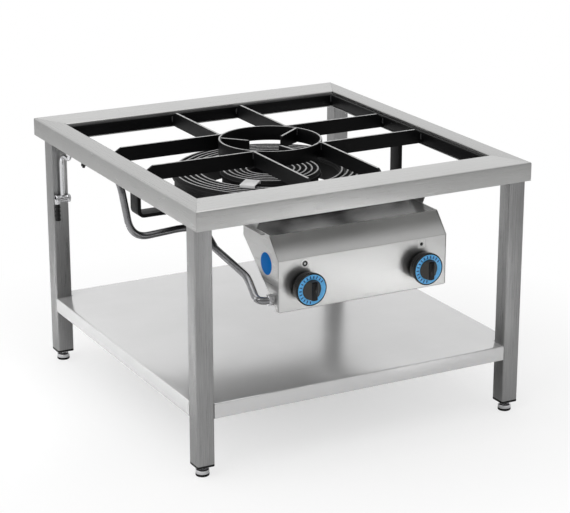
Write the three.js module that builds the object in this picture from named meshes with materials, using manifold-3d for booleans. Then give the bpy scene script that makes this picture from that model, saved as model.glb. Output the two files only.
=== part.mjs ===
// Low gas stove for a stock pot: a mitred sheet-steel table on four square legs with a shelf,
// a lift-off grate of flat bars, a double-ring burner on a hanger and a wedge-shaped control box.
// Millimetres, +Z up. The table is drawn centred on X and Y with its feet on Z = 0, and the knobs
// face -Y. The group is then moved along Y so that the whole stove is centred on the origin.
import * as THREE from 'three';
import { mergeVertices } from 'three/addons/utils/BufferGeometryUtils.js';
import Module from 'manifold-3d';

const wasm = await Module();
wasm.setup();
const { Manifold, Mesh: SolidMesh } = wasm;

// ---------------------------------------------------------------- driving sizes
const GAP = 0.3; // clearance wherever two pieces touch

// Table top
const TABLE_WIDTH = 600;
const TABLE_DEPTH = 660;
const TABLE_HEIGHT = 436;
const FASCIA_HEIGHT = 31;
const SIDE_BORDER = 34; // flat width of the left and right members
const END_BORDER = 68; // flat width of the front and back members
const FRAME_SHEET = 1.5;
const FOLD_RADIUS = 3; // outside radius of the folded edges
const LEDGE_WIDTH = 8; // lip inside the opening that carries the grate

// Legs, end caps and feet
const LEG_SIZE = 30;
const LEG_WALL = 1.5;
const LEG_CORNER = 3;
const LEG_SIDE_INSET = 2; // from the side of the table to the leg
const LEG_FRONT_INSET = 12;
const LEG_BACK_INSET = 42;
const FOOT_HEIGHT = 17; // floor to the underside of the end cap
const CAP_FLANGE = 3.5;
const CAP_PLUG = 14; // how far the cap reaches up into the tube
const FOOT_SCREW_RADIUS = 4;
const FOOT_SCREW_REACH = 42; // screw length above the end cap's underside
const FOOT_PAD_RADIUS = 11;
const FOOT_PAD_HEIGHT = 7;
const FOOT_NUT_RADIUS = 7.5;
const FOOT_NUT_HEIGHT = 5;

// Shelf
const SHELF_TOP = 121;
const SHELF_APRON = 25;
const SHELF_SHEET = 1.5;
const SHELF_INSET = 0.6; // apron behind the outer face of the legs
const STIFFENER_WIDTH = 60;
const STIFFENER_HEIGHT = 18;
const STIFFENER_FLANGE = 14;

// Grate of flat bars on edge
const BAR_THICKNESS = 4;
const BAR_HEIGHT = 25;
const RIM_HEIGHT = 20;
const RIM_CLEARANCE = 3; // between the grate's rim and the table's opening
const BAR_SPACING = 128; // between the centres of the two parallel cross bars
const RING_RADIUS = 88;
const TIP_RUN = 12; // bevel where a cross bar meets the rim
const TIP_DROP = 8;
const PRONG_REACH = 35; // from the ring's centre to a prong's inner end
const PRONG_DROP = 4;
const BURNER_Y = 6; // centre of the ring and the burner, behind the table's middle

// Burner castings
const RIDGE_PITCH = 10;
const RIDGE_COUNT = 5;
const RIDGE_HEIGHT = 6;
const RIDGE_CREST = 3; // width of a ridge's flat crest
const CAP_PLATE = 6; // thickness of a burner cap under its ridges
const CAP_OVERHANG = 4; // of a burner cap past its body
const OUTER_CAP_RADIUS = 167;
const INNER_CAP_RADIUS = 86;
const CAST_WALL = 5;
const BODY_HEIGHT = 32;
const MIX_TUBE_RADIUS = 10;
const MIX_TUBE_BORE = 6.5;
const MIX_TUBE_RISE = 10; // casting's underside up to the axis of the outer ring's mixing tube
const BELL_RADIUS = 16;
const BELL_LENGTH = 12;
const BELL_FACE = 184; // from the table's middle forward to the mouths of the mixing tubes
const INNER_TUBE_DROP = 30; // the inner ring's mixing tube runs this far under the outer one's

// Hanger strap under the burner
const STRAP_THICKNESS = 6;
const STRAP_WIDTH = 30;
const STRAP_INSET = 16; // from the side of the opening to the middle of the upright
const STRAP_DROP = 96; // table top down to the upper face of the strap's level run
const STRAP_BEND = 12; // outside bend radius

// Pilot shroud over the gap between the two rings
const SHROUD_LENGTH = 26; // across the radius
const SHROUD_DEPTH = 35; // along the radius
const SHROUD_OFFSET = 16; // middle of the gap out to the middle of the cover
const SHROUD_SHEET = 1.5;
const SHROUD_RISE = 6; // above the burner's ridges
const SHROUD_ANGLE = 226; // degrees anticlockwise from +X, seen from above

// Control box, a wedge open at the back
const BOX_WIDTH = 306;
const BOX_SETBACK = 20; // from the table's front to the panel's face
const BOX_DROP = 190; // table top down to the box's lower edge
const PANEL_HEIGHT = 85;
const SLOPE_RUN = 29;
const SLOPE_RISE = 33;
const BOX_TOP_RUN = 88; // depth of the level top behind the slope
const BOX_REAR_DROP = 21; // upright rear edge below the top
const BOX_SHEET = 1.5;
const BOX_LIP = 12; // folded lip along the panel's lower edge
const EAR_TOP_WIDTH = 16; // tab that hangs a side plate from the table
const SIDE_FLANGE = 8; // folded outward along the top of the left side plate

// Gas rail, valves, knobs
const KNOB_INSET = 47; // from the side of the box to a knob's axis
const KNOB_RISE = 39; // from the box's lower edge up to the axis
const KNOB_BACK_RADIUS = 24;
const KNOB_FACE_RADIUS = 26.5; // of the flange round the dial
const KNOB_STEP = 9; // back of the knob out to the foot of the flange
const KNOB_SKIRT = 19; // depth of the round skirt
const KNOB_HUB_RADIUS = 16;
const KNOB_GRIP = 10; // how far the grip stands out of the dial
const KNOB_GRIP_WIDTH = 9;
const KNOB_TRAVEL = 4; // push to light
const DIAL_OUTER = 24.5;
const DIAL_THICKNESS = 1.5;
const SPINDLE_RADIUS = 4;
const SPINDLE_BORE_GAP = 0.3;
const COLLAR_RADIUS = 7;
const COLLAR_THICKNESS = 2;
const VALVE_WIDTH = 22;
const VALVE_HEIGHT = 26;
const VALVE_LENGTH = 38;
const VALVE_NOSE = 14; // round outlet behind the body
const SPINDLE_SEAT = 8; // spindle's end inside the valve
const RAIL_RADIUS = 5;
const RAIL_RISE = 19; // from the box's lower edge up to the rail's axis
const RAIL_BACK = 16; // rail's axis behind the panel's face
const RAIL_NUT = 9; // radius over the corners of the union at the rail's end
const RAIL_NUT_LENGTH = 10;
const PIPE_RADIUS = 6;
const PIPE_BEND = 38; // centre-line radius of the wide bends
const PIPE_LAST_BEND = 14; // and of the short one into the union
const PIPE_LIFT = 5; // fascia's lower edge up to the pipe's axis, inside the left member
const PIPE_UNDER = 30; // strap's underside down to the pipe's axis
const PIPE_LEAN = 14; // the falling stretch leans in and forward by this much
const PIPE_LOOP = 22; // how far the pipe swings in past the side of the box
const PIPE_KINK = 64; // from the rail back to where the pipe turns down beside the box
const PIPE_KINK_RISE = 20;
const PIPE_KINK_BEND = 120;
const PIPE_SWEEP = 85; // from the table's middle forward to the start of the gentle fall
const PIPE_SWEEP_RISE = 24; // rail's axis up to that point
const PIPE_SWEEP_INSET = 3; // from the side of the box in to that point
const PIPE_SWEEP_BEND = 60;
const INLET_RADIUS = 4;
const INLET_BEND = 18;
const INLET_DIP = 24; // supply pipe's axis down to the inlet pipe's level stretch
const INLET_CLIMB = 12; // length over which the inlet pipe climbs from there
const INLET_CLIMB_BEND = 10;
const INLET_END = 12; // level length of the inlet pipe where it meets the supply pipe
const INLET_SETBACK = 10; // in front of the rear leg
const INLET_RUN = 60; // length of the thin pipe inside the left member
const INJECTOR_RADIUS = 4;
const INJECTOR_BEND = 9;
const INJECTOR_LEAD = 16; // valve to the axis of the pipe's rise
const INJECTOR_TIP = 5.5;
const INJECTOR_TIP_LENGTH = 12;
const INJECTOR_STANDOFF = 2; // injector's tip to the mouth of the mixing tube
const TEE_RADIUS = 6;
const TEE_DROP = 98; // fascia's lower edge down to the tee's axis
const TEE_OUTLET = 9; // tee's axis down to the end of its outlet
const TEE_NUT = 6; // length of the nuts on the tee
const HOSE_TAIL_RADIUS = 5;
const HOSE_TAIL_BORE = 2.5;
const HOSE_TAIL_LENGTH = 30;

// ---------------------------------------------------------------- sizes that follow
const HALF_WIDTH = TABLE_WIDTH / 2;
const HALF_DEPTH = TABLE_DEPTH / 2;
const OPENING_X = HALF_WIDTH - SIDE_BORDER;
const OPENING_Y = HALF_DEPTH - END_BORDER;
const FASCIA_BOTTOM = TABLE_HEIGHT - FASCIA_HEIGHT;
const BAR_BOTTOM = TABLE_HEIGHT - BAR_HEIGHT;
const LEDGE_TOP = BAR_BOTTOM - GAP;
const LEDGE_BOTTOM = LEDGE_TOP - FRAME_SHEET;
const LEG_BOTTOM = FOOT_HEIGHT + CAP_FLANGE + GAP;
const LEG_TOP = TABLE_HEIGHT - FOLD_RADIUS - GAP;
const RIM_OUTER_X = OPENING_X - RIM_CLEARANCE;
const RIM_OUTER_Y = OPENING_Y - RIM_CLEARANCE;
const RIM_INNER_X = RIM_OUTER_X - BAR_THICKNESS;
const RIM_INNER_Y = RIM_OUTER_Y - BAR_THICKNESS;
const RING_INNER = RING_RADIUS - BAR_THICKNESS;
const STRAP_TOP = TABLE_HEIGHT - STRAP_DROP;
const STRAP_HALF_SPAN = OPENING_X - STRAP_INSET;
const BODY_BOTTOM = STRAP_TOP + GAP;
const BODY_TOP = BODY_BOTTOM + BODY_HEIGHT;
const CAP_BOTTOM = BODY_TOP + GAP;
const RIDGE_BASE = CAP_BOTTOM + CAP_PLATE;
const RIDGE_TOP = RIDGE_BASE + RIDGE_HEIGHT;
const CAP_SPAN = RIDGE_COUNT * RIDGE_PITCH; // radial width of a burner cap
const OUTER_BODY_RADIUS = OUTER_CAP_RADIUS - CAP_OVERHANG;
const OUTER_BODY_INNER = OUTER_CAP_RADIUS - CAP_SPAN + CAP_OVERHANG;
const INNER_BODY_RADIUS = INNER_CAP_RADIUS - CAP_OVERHANG;
const INNER_BODY_INNER = INNER_CAP_RADIUS - CAP_SPAN + CAP_OVERHANG;
const MIX_TUBE_Z = BODY_BOTTOM + MIX_TUBE_RISE;
const INNER_TUBE_Z = MIX_TUBE_Z - INNER_TUBE_DROP;
const PANEL_FACE_Y = BOX_SETBACK - HALF_DEPTH;
const PANEL_BACK_Y = PANEL_FACE_Y + BOX_SHEET;
const BOX_BOTTOM = TABLE_HEIGHT - BOX_DROP;
const PANEL_TOP = BOX_BOTTOM + PANEL_HEIGHT;
const BOX_TOP = PANEL_TOP + SLOPE_RISE;
const SLOPE_BACK_Y = PANEL_FACE_Y + SLOPE_RUN;
const BOX_REAR_Y = SLOPE_BACK_Y + BOX_TOP_RUN;
const BOX_HALF = BOX_WIDTH / 2;
const KNOB_X = BOX_HALF - KNOB_INSET;
const INNER_TUBE_X = -KNOB_X; // the left knob feeds the inner ring
const OUTER_TUBE_X = KNOB_X;
const KNOB_HEIGHT = BOX_BOTTOM + KNOB_RISE;
const KNOB_BACK_Y = PANEL_FACE_Y - KNOB_TRAVEL - GAP;
const KNOB_FACE_Y = KNOB_BACK_Y - KNOB_SKIRT;
const KNOB_FRONT_Y = KNOB_FACE_Y - KNOB_GRIP;
const COLLAR_FRONT_Y = PANEL_BACK_Y + GAP;
const VALVE_FRONT_Y = COLLAR_FRONT_Y + COLLAR_THICKNESS + KNOB_TRAVEL + 1;
const VALVE_BACK_Y = VALVE_FRONT_Y + VALVE_LENGTH;
const RAIL_Y = PANEL_FACE_Y + RAIL_BACK;
const RAIL_HEIGHT = BOX_BOTTOM + RAIL_RISE;
const LEG_X = HALF_WIDTH - LEG_SIDE_INSET - LEG_SIZE / 2;
const LEG_FRONT_Y = -HALF_DEPTH + LEG_FRONT_INSET + LEG_SIZE / 2;
const LEG_BACK_Y = HALF_DEPTH - LEG_BACK_INSET - LEG_SIZE / 2;

// ---------------------------------------------------------------- finishes
const finish = (color, roughness, metalness) => ({ color, roughness, metalness });
const SATIN_STEEL = finish(0xc4c4c2, 0.35, 1);
const LEG_STEEL = finish(0xa8a8a6, 0.4, 1);
const SHELF_STEEL = finish(0xd0d0ce, 0.3, 1);
const BLACK_ENAMEL = finish(0x1a1a1b, 0.45, 0);
const CAST_IRON = finish(0x202022, 0.6, 0.3);
const BLACK_PLASTIC = finish(0x151516, 0.4, 0);
const BLUE_PLASTIC = finish(0x4aa8e8, 0.35, 0);
const BRASS = finish(0xb08d4a, 0.35, 1);
const CHROME = finish(0xd8d8da, 0.15, 1);
const DARK_PIPE = finish(0x55565a, 0.4, 0.8);

// ---------------------------------------------------------------- solids
// Turns a closed three.js geometry into a solid that can be joined and cut.
function solid(geometry) {
  const bare = geometry.index ? geometry.toNonIndexed() : geometry.clone();
  bare.deleteAttribute('normal');
  bare.deleteAttribute('uv');
  const merged = mergeVertices(bare, 1e-4);
  return new Manifold(new SolidMesh({
    numProp: 3,
    vertProperties: new Float32Array(merged.attributes.position.array),
    triVerts: new Uint32Array(merged.index.array),
  }));
}

function box(x0, x1, y0, y1, z0, z1) {
  const geometry = new THREE.BoxGeometry(x1 - x0, y1 - y0, z1 - z0);
  geometry.translate((x0 + x1) / 2, (y0 + y1) / 2, (z0 + z1) / 2);
  return solid(geometry);
}

// An outline of [x, y] points raised from z0 to z1.
function slab(points, z0, z1, holes = []) {
  const shape = new THREE.Shape(points.map(([x, y]) => new THREE.Vector2(x, y)));
  for (const hole of holes) shape.holes.push(new THREE.Path(hole.map(([x, y]) => new THREE.Vector2(x, y))));
  const geometry = new THREE.ExtrudeGeometry(shape, { depth: z1 - z0, bevelEnabled: false });
  geometry.translate(0, 0, z0);
  return solid(geometry);
}

// An outline of [y, z] points drawn out along X from x0 to x1.
function alongX(points, x0, x1) {
  const shape = new THREE.Shape(points.map(([y, z]) => new THREE.Vector2(y, z)));
  const geometry = new THREE.ExtrudeGeometry(shape, { depth: x1 - x0, bevelEnabled: false });
  geometry.applyMatrix4(new THREE.Matrix4().set(0, 0, 1, x0, 1, 0, 0, 0, 0, 1, 0, 0, 0, 0, 0, 1));
  return solid(geometry);
}

// An outline of [x, z] points drawn out along Y from y0 to y1.
function alongY(points, y0, y1) {
  const shape = new THREE.Shape(points.map(([x, z]) => new THREE.Vector2(x, z)));
  const geometry = new THREE.ExtrudeGeometry(shape, { depth: y1 - y0, bevelEnabled: false });
  geometry.applyMatrix4(new THREE.Matrix4().set(1, 0, 0, 0, 0, 0, -1, y1, 0, 1, 0, 0, 0, 0, 0, 1));
  return solid(geometry);
}

// A closed profile of [radius, height] points turned about Z.
function turned(points, segments) {
  const profile = [...points, points[0]].map(([r, h]) => new THREE.Vector2(r, h));
  const geometry = new THREE.LatheGeometry(profile, segments);
  geometry.rotateX(Math.PI / 2);
  return solid(geometry);
}

function cylinder(radius, z0, z1, segments = 20) {
  const geometry = new THREE.CylinderGeometry(radius, radius, z1 - z0, segments);
  geometry.rotateX(Math.PI / 2);
  geometry.translate(0, 0, (z0 + z1) / 2);
  return solid(geometry);
}

// A cylinder along Y from y0 to y1 through (x, z).
const rodY = (radius, y0, y1, x, z, segments = 20) => cylinder(radius, y0, y1, segments)
  .rotate([-90, 0, 0]).translate([x, 0, z]);

// A cylinder along X from x0 to x1 through (y, z).
const rodX = (radius, x0, x1, y, z, segments = 20) => cylinder(radius, x0, x1, segments)
  .rotate([0, 90, 0]).translate([0, y, z]);

// A polyline of [x, y, z, bend] points, with each inner corner rounded to its bend radius.
function roundedPath(points) {
  const path = new THREE.CurvePath();
  const corners = points.map(([x, y, z]) => new THREE.Vector3(x, y, z));
  let from = corners[0];
  for (let i = 1; i < corners.length - 1; i += 1) {
    const before = corners[i - 1].clone().sub(corners[i]).normalize();
    const after = corners[i + 1].clone().sub(corners[i]).normalize();
    const setback = points[i][3] / Math.tan(before.angleTo(after) / 2);
    const start = corners[i].clone().addScaledVector(before, setback);
    const end = corners[i].clone().addScaledVector(after, setback);
    path.add(new THREE.LineCurve3(from, start));
    path.add(new THREE.QuadraticBezierCurve3(start, corners[i], end));
    from = end;
  }
  path.add(new THREE.LineCurve3(from, corners[corners.length - 1]));
  return path;
}

function circleShape(radius, sides) {
  const points = Array.from({ length: sides }, (_, i) => {
    const a = (i / sides) * Math.PI * 2;
    return new THREE.Vector2(radius * Math.cos(a), radius * Math.sin(a));
  });
  return new THREE.Shape(points);
}

function tube(curve, radius, steps, sides = 10) {
  const options = { steps, extrudePath: curve, bevelEnabled: false };
  return solid(new THREE.ExtrudeGeometry(circleShape(radius, sides), options));
}

// The outline of a bent strip: a centre line of [a, b] points given a thickness, with round bends.
function bentStrip(points, thickness, bend, steps = 3) {
  const line = [];
  points.forEach(([a, b], i) => {
    if (i === 0 || i === points.length - 1) {
      line.push(new THREE.Vector2(a, b));
      return;
    }
    const corner = new THREE.Vector2(a, b);
    const before = new THREE.Vector2(...points[i - 1]).sub(corner).normalize();
    const after = new THREE.Vector2(...points[i + 1]).sub(corner).normalize();
    const half = Math.acos(before.dot(after)) / 2;
    const setback = (bend - thickness / 2) / Math.tan(half);
    const start = corner.clone().addScaledVector(before, setback);
    const end = corner.clone().addScaledVector(after, setback);
    const curve = new THREE.QuadraticBezierCurve(start, corner, end);
    line.push(...curve.getPoints(steps));
  });
  const normals = line.map((p, i) => {
    const back = line[Math.max(i - 1, 0)];
    const ahead = line[Math.min(i + 1, line.length - 1)];
    const along = ahead.clone().sub(back).normalize();
    return new THREE.Vector2(-along.y, along.x);
  });
  const side = (sign) => line.map((p, i) => p.clone().addScaledVector(normals[i], sign * thickness / 2));
  return [...side(1), ...side(-1).reverse()].map((p) => [p.x, p.y]);
}

// ---------------------------------------------------------------- the group
const stove = new THREE.Group();
const table = new THREE.Group();
stove.add(table);

function add(name, shape, look) {
  const { vertProperties, triVerts } = shape.getMesh();
  const geometry = new THREE.BufferGeometry();
  geometry.setAttribute('position', new THREE.BufferAttribute(vertProperties, 3));
  geometry.setIndex(new THREE.BufferAttribute(triVerts, 1));
  geometry.computeVertexNormals();
  const mesh = new THREE.Mesh(geometry, new THREE.MeshStandardMaterial(look));
  mesh.name = name;
  table.add(mesh);
}

// ---------------------------------------------------------------- table top
// Section of a folded member: u runs inward from the outer face.
function memberSection(border) {
  const t = FRAME_SHEET;
  const outer = [];
  const inner = [];
  for (let i = 0; i <= 3; i += 1) {
    const a = (i / 3) * (Math.PI / 2);
    const r = FOLD_RADIUS;
    outer.push([r - r * Math.cos(a), TABLE_HEIGHT - r + r * Math.sin(a)]);
    const k = FOLD_RADIUS - t;
    inner.push([r - k * Math.cos(a), TABLE_HEIGHT - r + k * Math.sin(a)]);
  }
  return [
    [0, FASCIA_BOTTOM], ...outer,
    [border - 1, TABLE_HEIGHT], [border, TABLE_HEIGHT - 1],
    [border, LEDGE_TOP], [border + LEDGE_WIDTH, LEDGE_TOP],
    [border + LEDGE_WIDTH, LEDGE_BOTTOM], [border - t, LEDGE_BOTTOM],
    [border - t, TABLE_HEIGHT - t], ...inner.reverse(), [t, FASCIA_BOTTOM],
  ];
}

// The mitre runs from the outer corner through the inner corner, and a little past the ledge.
const MITRE_REACH = 1.6;
const mitreX = HALF_WIDTH - SIDE_BORDER * MITRE_REACH;
const mitreY = HALF_DEPTH - END_BORDER * MITRE_REACH;

function endMember(side) {
  const section = memberSection(END_BORDER).map(([u, z]) => [side * (HALF_DEPTH - u), z]);
  const bar = alongX(section, -HALF_WIDTH, HALF_WIDTH);
  const plan = [
    [-HALF_WIDTH + GAP, side * (HALF_DEPTH + 1)], [HALF_WIDTH - GAP, side * (HALF_DEPTH + 1)],
    [HALF_WIDTH - GAP, side * HALF_DEPTH], [mitreX - GAP, side * mitreY],
    [-mitreX + GAP, side * mitreY], [-HALF_WIDTH + GAP, side * HALF_DEPTH],
  ];
  return bar.intersect(slab(plan, 0, TABLE_HEIGHT + 1));
}

function sideMember(side) {
  const section = memberSection(SIDE_BORDER).map(([u, z]) => [side * (HALF_WIDTH - u), z]);
  const bar = alongY(section, -HALF_DEPTH, HALF_DEPTH);
  const plan = [
    [side * (HALF_WIDTH + 1), -HALF_DEPTH], [side * (HALF_WIDTH + 1), HALF_DEPTH],
    [side * HALF_WIDTH, HALF_DEPTH], [side * mitreX, mitreY],
    [side * mitreX, -mitreY], [side * HALF_WIDTH, -HALF_DEPTH],
  ];
  return bar.intersect(slab(plan, 0, TABLE_HEIGHT + 1));
}

add('frame_front', endMember(-1), SATIN_STEEL);
add('frame_back', endMember(1), SATIN_STEEL);
add('frame_left', sideMember(-1), SATIN_STEEL);
add('frame_right', sideMember(1), SATIN_STEEL);

// ---------------------------------------------------------------- legs, caps and feet
function roundedSquare(size, corner) {
  const h = size / 2 - corner;
  const points = [];
  [[1, 1, 0], [-1, 1, 90], [-1, -1, 180], [1, -1, 270]].forEach(([sx, sy, start]) => {
    for (let i = 0; i <= 3; i += 1) {
      const a = THREE.MathUtils.degToRad(start + i * 30);
      points.push([sx * h + corner * Math.cos(a), sy * h + corner * Math.sin(a)]);
    }
  });
  return points;
}

const legBore = LEG_SIZE - 2 * LEG_WALL;
const capPlug = legBore - 2 * GAP;
const screwBore = FOOT_SCREW_RADIUS + GAP;

function legTube() {
  const outer = roundedSquare(LEG_SIZE, LEG_CORNER);
  const inner = roundedSquare(legBore, LEG_CORNER - LEG_WALL);
  return slab(outer, LEG_BOTTOM, LEG_TOP, [inner]);
}

function endCap() {
  const flange = slab(roundedSquare(LEG_SIZE, LEG_CORNER), FOOT_HEIGHT, FOOT_HEIGHT + CAP_FLANGE);
  const plug = slab(roundedSquare(capPlug, LEG_CORNER - LEG_WALL), FOOT_HEIGHT, LEG_BOTTOM + CAP_PLUG);
  return flange.add(plug).subtract(cylinder(screwBore, 0, LEG_TOP, 16));
}

// Pad, neck, lock nut and screw in one piece.
function foot() {
  const nutTop = FOOT_HEIGHT - GAP;
  const nutBottom = nutTop - FOOT_NUT_HEIGHT;
  const screw = turned([
    [0, 0], [FOOT_PAD_RADIUS - 1, 0], [FOOT_PAD_RADIUS, 1],
    [FOOT_PAD_RADIUS, FOOT_PAD_HEIGHT / 2], [FOOT_SCREW_RADIUS + 2, FOOT_PAD_HEIGHT],
    [FOOT_SCREW_RADIUS, FOOT_PAD_HEIGHT + 1],
    [FOOT_SCREW_RADIUS, FOOT_HEIGHT + FOOT_SCREW_REACH - 1],
    [FOOT_SCREW_RADIUS - 1, FOOT_HEIGHT + FOOT_SCREW_REACH], [0, FOOT_HEIGHT + FOOT_SCREW_REACH],
  ], 16);
  return screw.add(cylinder(FOOT_NUT_RADIUS, nutBottom, nutTop, 6));
}

const corners = [
  ['front_left', -LEG_X, LEG_FRONT_Y], ['front_right', LEG_X, LEG_FRONT_Y],
  ['back_left', -LEG_X, LEG_BACK_Y], ['back_right', LEG_X, LEG_BACK_Y],
];
for (const [place, x, y] of corners) {
  add(`leg_${place}`, legTube().translate([x, y, 0]), LEG_STEEL);
  add(`leg_cap_${place}`, endCap().translate([x, y, 0]), BLACK_PLASTIC);
  add(`foot_${place}`, foot().translate([x, y, 0]), CHROME);
}

// ---------------------------------------------------------------- shelf
const shelfX = LEG_X + LEG_SIZE / 2 - SHELF_INSET;
const shelfFront = LEG_FRONT_Y - LEG_SIZE / 2 + SHELF_INSET;
const shelfBack = LEG_BACK_Y + LEG_SIZE / 2 - SHELF_INSET;
const shelfUnder = SHELF_TOP - SHELF_SHEET;

function shelfTray() {
  const bottom = SHELF_TOP - SHELF_APRON;
  let tray = box(-shelfX, shelfX, shelfFront, shelfBack, bottom, SHELF_TOP);
  tray = tray.subtract(box(
    -shelfX + SHELF_SHEET, shelfX - SHELF_SHEET,
    shelfFront + SHELF_SHEET, shelfBack - SHELF_SHEET, bottom - 1, shelfUnder,
  ));
  const clear = LEG_SIZE / 2 + GAP;
  for (const [, x, y] of corners) {
    tray = tray.subtract(box(x - clear, x + clear, y - clear, y + clear, 0, TABLE_HEIGHT));
  }
  return tray;
}

// A top-hat channel along X under the middle of the shelf.
function stiffener() {
  const t = SHELF_SHEET;
  const w = STIFFENER_WIDTH / 2;
  const top = shelfUnder - GAP;
  const low = top - STIFFENER_HEIGHT;
  const f = w + STIFFENER_FLANGE;
  const section = [
    [-f, top], [-w, top], [-w, low + t], [w, low + t], [w, top], [f, top],
    [f, top - t], [w + t, top - t], [w + t, low], [-w - t, low], [-w - t, top - t], [-f, top - t],
  ];
  const reach = shelfX - SHELF_SHEET - GAP;
  const middle = (shelfFront + shelfBack) / 2;
  return alongX(section.reverse(), -reach, reach).translate([0, middle, 0]);
}

add('shelf', shelfTray(), SHELF_STEEL);
add('shelf_stiffener', stiffener(), SHELF_STEEL);

// ---------------------------------------------------------------- grate
const barHalf = BAR_THICKNESS / 2;
const barAt = BAR_SPACING / 2;
const rimTop = BAR_BOTTOM + RIM_HEIGHT;

for (const [name, side] of [['grate_rim_left', -1], ['grate_rim_right', 1]]) {
  const x = side * (RIM_OUTER_X - barHalf);
  add(name, box(x - barHalf, x + barHalf, -RIM_OUTER_Y, RIM_OUTER_Y, BAR_BOTTOM, rimTop), BLACK_ENAMEL);
}
for (const [name, side] of [['grate_rim_front', -1], ['grate_rim_back', 1]]) {
  const y = side * (RIM_OUTER_Y - barHalf);
  const reach = RIM_INNER_X - GAP;
  add(name, box(-reach, reach, y - barHalf, y + barHalf, BAR_BOTTOM, rimTop), BLACK_ENAMEL);
}

// Side view of a cross bar, from its inner end to the bevel at the rim.
const barOutline = (inner, outer) => [
  [inner, BAR_BOTTOM], [outer, BAR_BOTTOM], [outer, TABLE_HEIGHT - TIP_DROP],
  [outer - TIP_RUN, TABLE_HEIGHT], [inner, TABLE_HEIGHT],
];
const ringCut = cylinder(RING_RADIUS + GAP, 0, TABLE_HEIGHT + 1, 48).translate([0, BURNER_Y, 0]);

for (const [row, sy] of [['front', -1], ['back', 1]]) {
  for (const [end, sx] of [['left', -1], ['right', 1]]) {
    const xBar = alongY(barOutline(barAt / 2, RIM_INNER_X - GAP), -barHalf, barHalf);
    const xPlaced = (sx < 0 ? xBar.mirror([1, 0, 0]) : xBar).translate([0, BURNER_Y + sy * barAt, 0]);
    add(`grate_bar_x_${row}_${end}`, xPlaced.subtract(ringCut), BLACK_ENAMEL);

    const start = barAt + barHalf + GAP;
    const finishY = RIM_INNER_Y - GAP - sy * BURNER_Y;
    const yBar = alongX(barOutline(start, finishY), -barHalf, barHalf);
    const yPlaced = (sy < 0 ? yBar.mirror([0, 1, 0]) : yBar).translate([sx * barAt, BURNER_Y, 0]);
    add(`grate_bar_y_${row}_${end}`, yPlaced, BLACK_ENAMEL);
  }
}

const ring = turned([
  [RING_INNER, BAR_BOTTOM], [RING_RADIUS, BAR_BOTTOM],
  [RING_RADIUS, TABLE_HEIGHT], [RING_INNER, TABLE_HEIGHT],
], 48).translate([0, BURNER_Y, 0]);
add('grate_ring', ring, BLACK_ENAMEL);

const PRONG_ANGLES = [30, 150, 270];
const prongOuter = RING_INNER * Math.cos(Math.PI / 48) - GAP - 0.2;
PRONG_ANGLES.forEach((angle, i) => {
  const outline = [
    [PRONG_REACH, BAR_BOTTOM], [prongOuter, BAR_BOTTOM],
    [prongOuter, TABLE_HEIGHT], [PRONG_REACH, TABLE_HEIGHT - PRONG_DROP],
  ];
  const prong = alongY(outline, -barHalf, barHalf).rotate([0, 0, angle]).translate([0, BURNER_Y, 0]);
  add(`grate_prong_${i + 1}`, prong, BLACK_ENAMEL);
});

// ---------------------------------------------------------------- burner
// A flat ring plate with concentric ridges on top, and a rim that drops outside the body.
function burnerCap(outerRadius, segments) {
  const innerRadius = outerRadius - CAP_SPAN;
  const points = [[innerRadius, CAP_BOTTOM], [outerRadius, CAP_BOTTOM], [outerRadius, RIDGE_BASE]];
  for (let i = RIDGE_COUNT - 1; i >= 0; i -= 1) {
    const middle = innerRadius + (i + 0.5) * RIDGE_PITCH;
    const foot0 = RIDGE_PITCH * 0.36;
    points.push(
      [middle + foot0, RIDGE_BASE], [middle + RIDGE_CREST / 2, RIDGE_TOP],
      [middle - RIDGE_CREST / 2, RIDGE_TOP], [middle - foot0, RIDGE_BASE],
    );
  }
  points.push([innerRadius, RIDGE_BASE]);
  return turned(points, segments);
}

// A trough that the cap closes.
const burnerTrough = (outer, inner, segments) => turned([
  [inner, BODY_BOTTOM], [outer, BODY_BOTTOM], [outer, BODY_TOP], [outer - CAST_WALL, BODY_TOP],
  [outer - CAST_WALL, BODY_BOTTOM + CAST_WALL], [inner + CAST_WALL, BODY_BOTTOM + CAST_WALL],
  [inner + CAST_WALL, BODY_TOP], [inner, BODY_TOP],
], segments);

const OUTER_SEGMENTS = 40;
const INNER_SEGMENTS = 32;
const centred = (shape) => shape.translate([0, BURNER_Y, 0]);

// The flared mouth of a mixing tube, opening towards -Y.
function bell(x, z) {
  return turned([
    [0, 0], [BELL_RADIUS, 0], [BELL_RADIUS, 2], [MIX_TUBE_RADIUS, BELL_LENGTH], [0, BELL_LENGTH],
  ], 20).rotate([-90, 0, 0]).translate([x, -BELL_FACE, z]);
}

function bellBore(x, z) {
  return turned([
    [0, -1], [BELL_RADIUS - 2.5, -1], [BELL_RADIUS - 2.5, 1], [MIX_TUBE_BORE, BELL_LENGTH],
    [0, BELL_LENGTH],
  ], 20).rotate([-90, 0, 0]).translate([x, -BELL_FACE, z]);
}

function outerBurnerBody() {
  const middle = (OUTER_BODY_RADIUS + OUTER_BODY_INNER) / 2;
  const entry = BURNER_Y - Math.sqrt(middle ** 2 - OUTER_TUBE_X ** 2); // under the trough's middle
  const tubeStart = -BELL_FACE + BELL_LENGTH - 1;
  const trough = centred(burnerTrough(OUTER_BODY_RADIUS, OUTER_BODY_INNER, OUTER_SEGMENTS));
  const wallEnd = BURNER_Y - Math.sqrt((OUTER_BODY_RADIUS - 2) ** 2 - OUTER_TUBE_X ** 2);
  const pipe = rodY(MIX_TUBE_RADIUS, tubeStart, wallEnd, OUTER_TUBE_X, MIX_TUBE_Z);
  const bore = rodY(MIX_TUBE_BORE, tubeStart, entry, OUTER_TUBE_X, MIX_TUBE_Z);
  return trough.add(pipe).add(bell(OUTER_TUBE_X, MIX_TUBE_Z)).subtract(bore)
    .subtract(bellBore(OUTER_TUBE_X, MIX_TUBE_Z));
}

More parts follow.
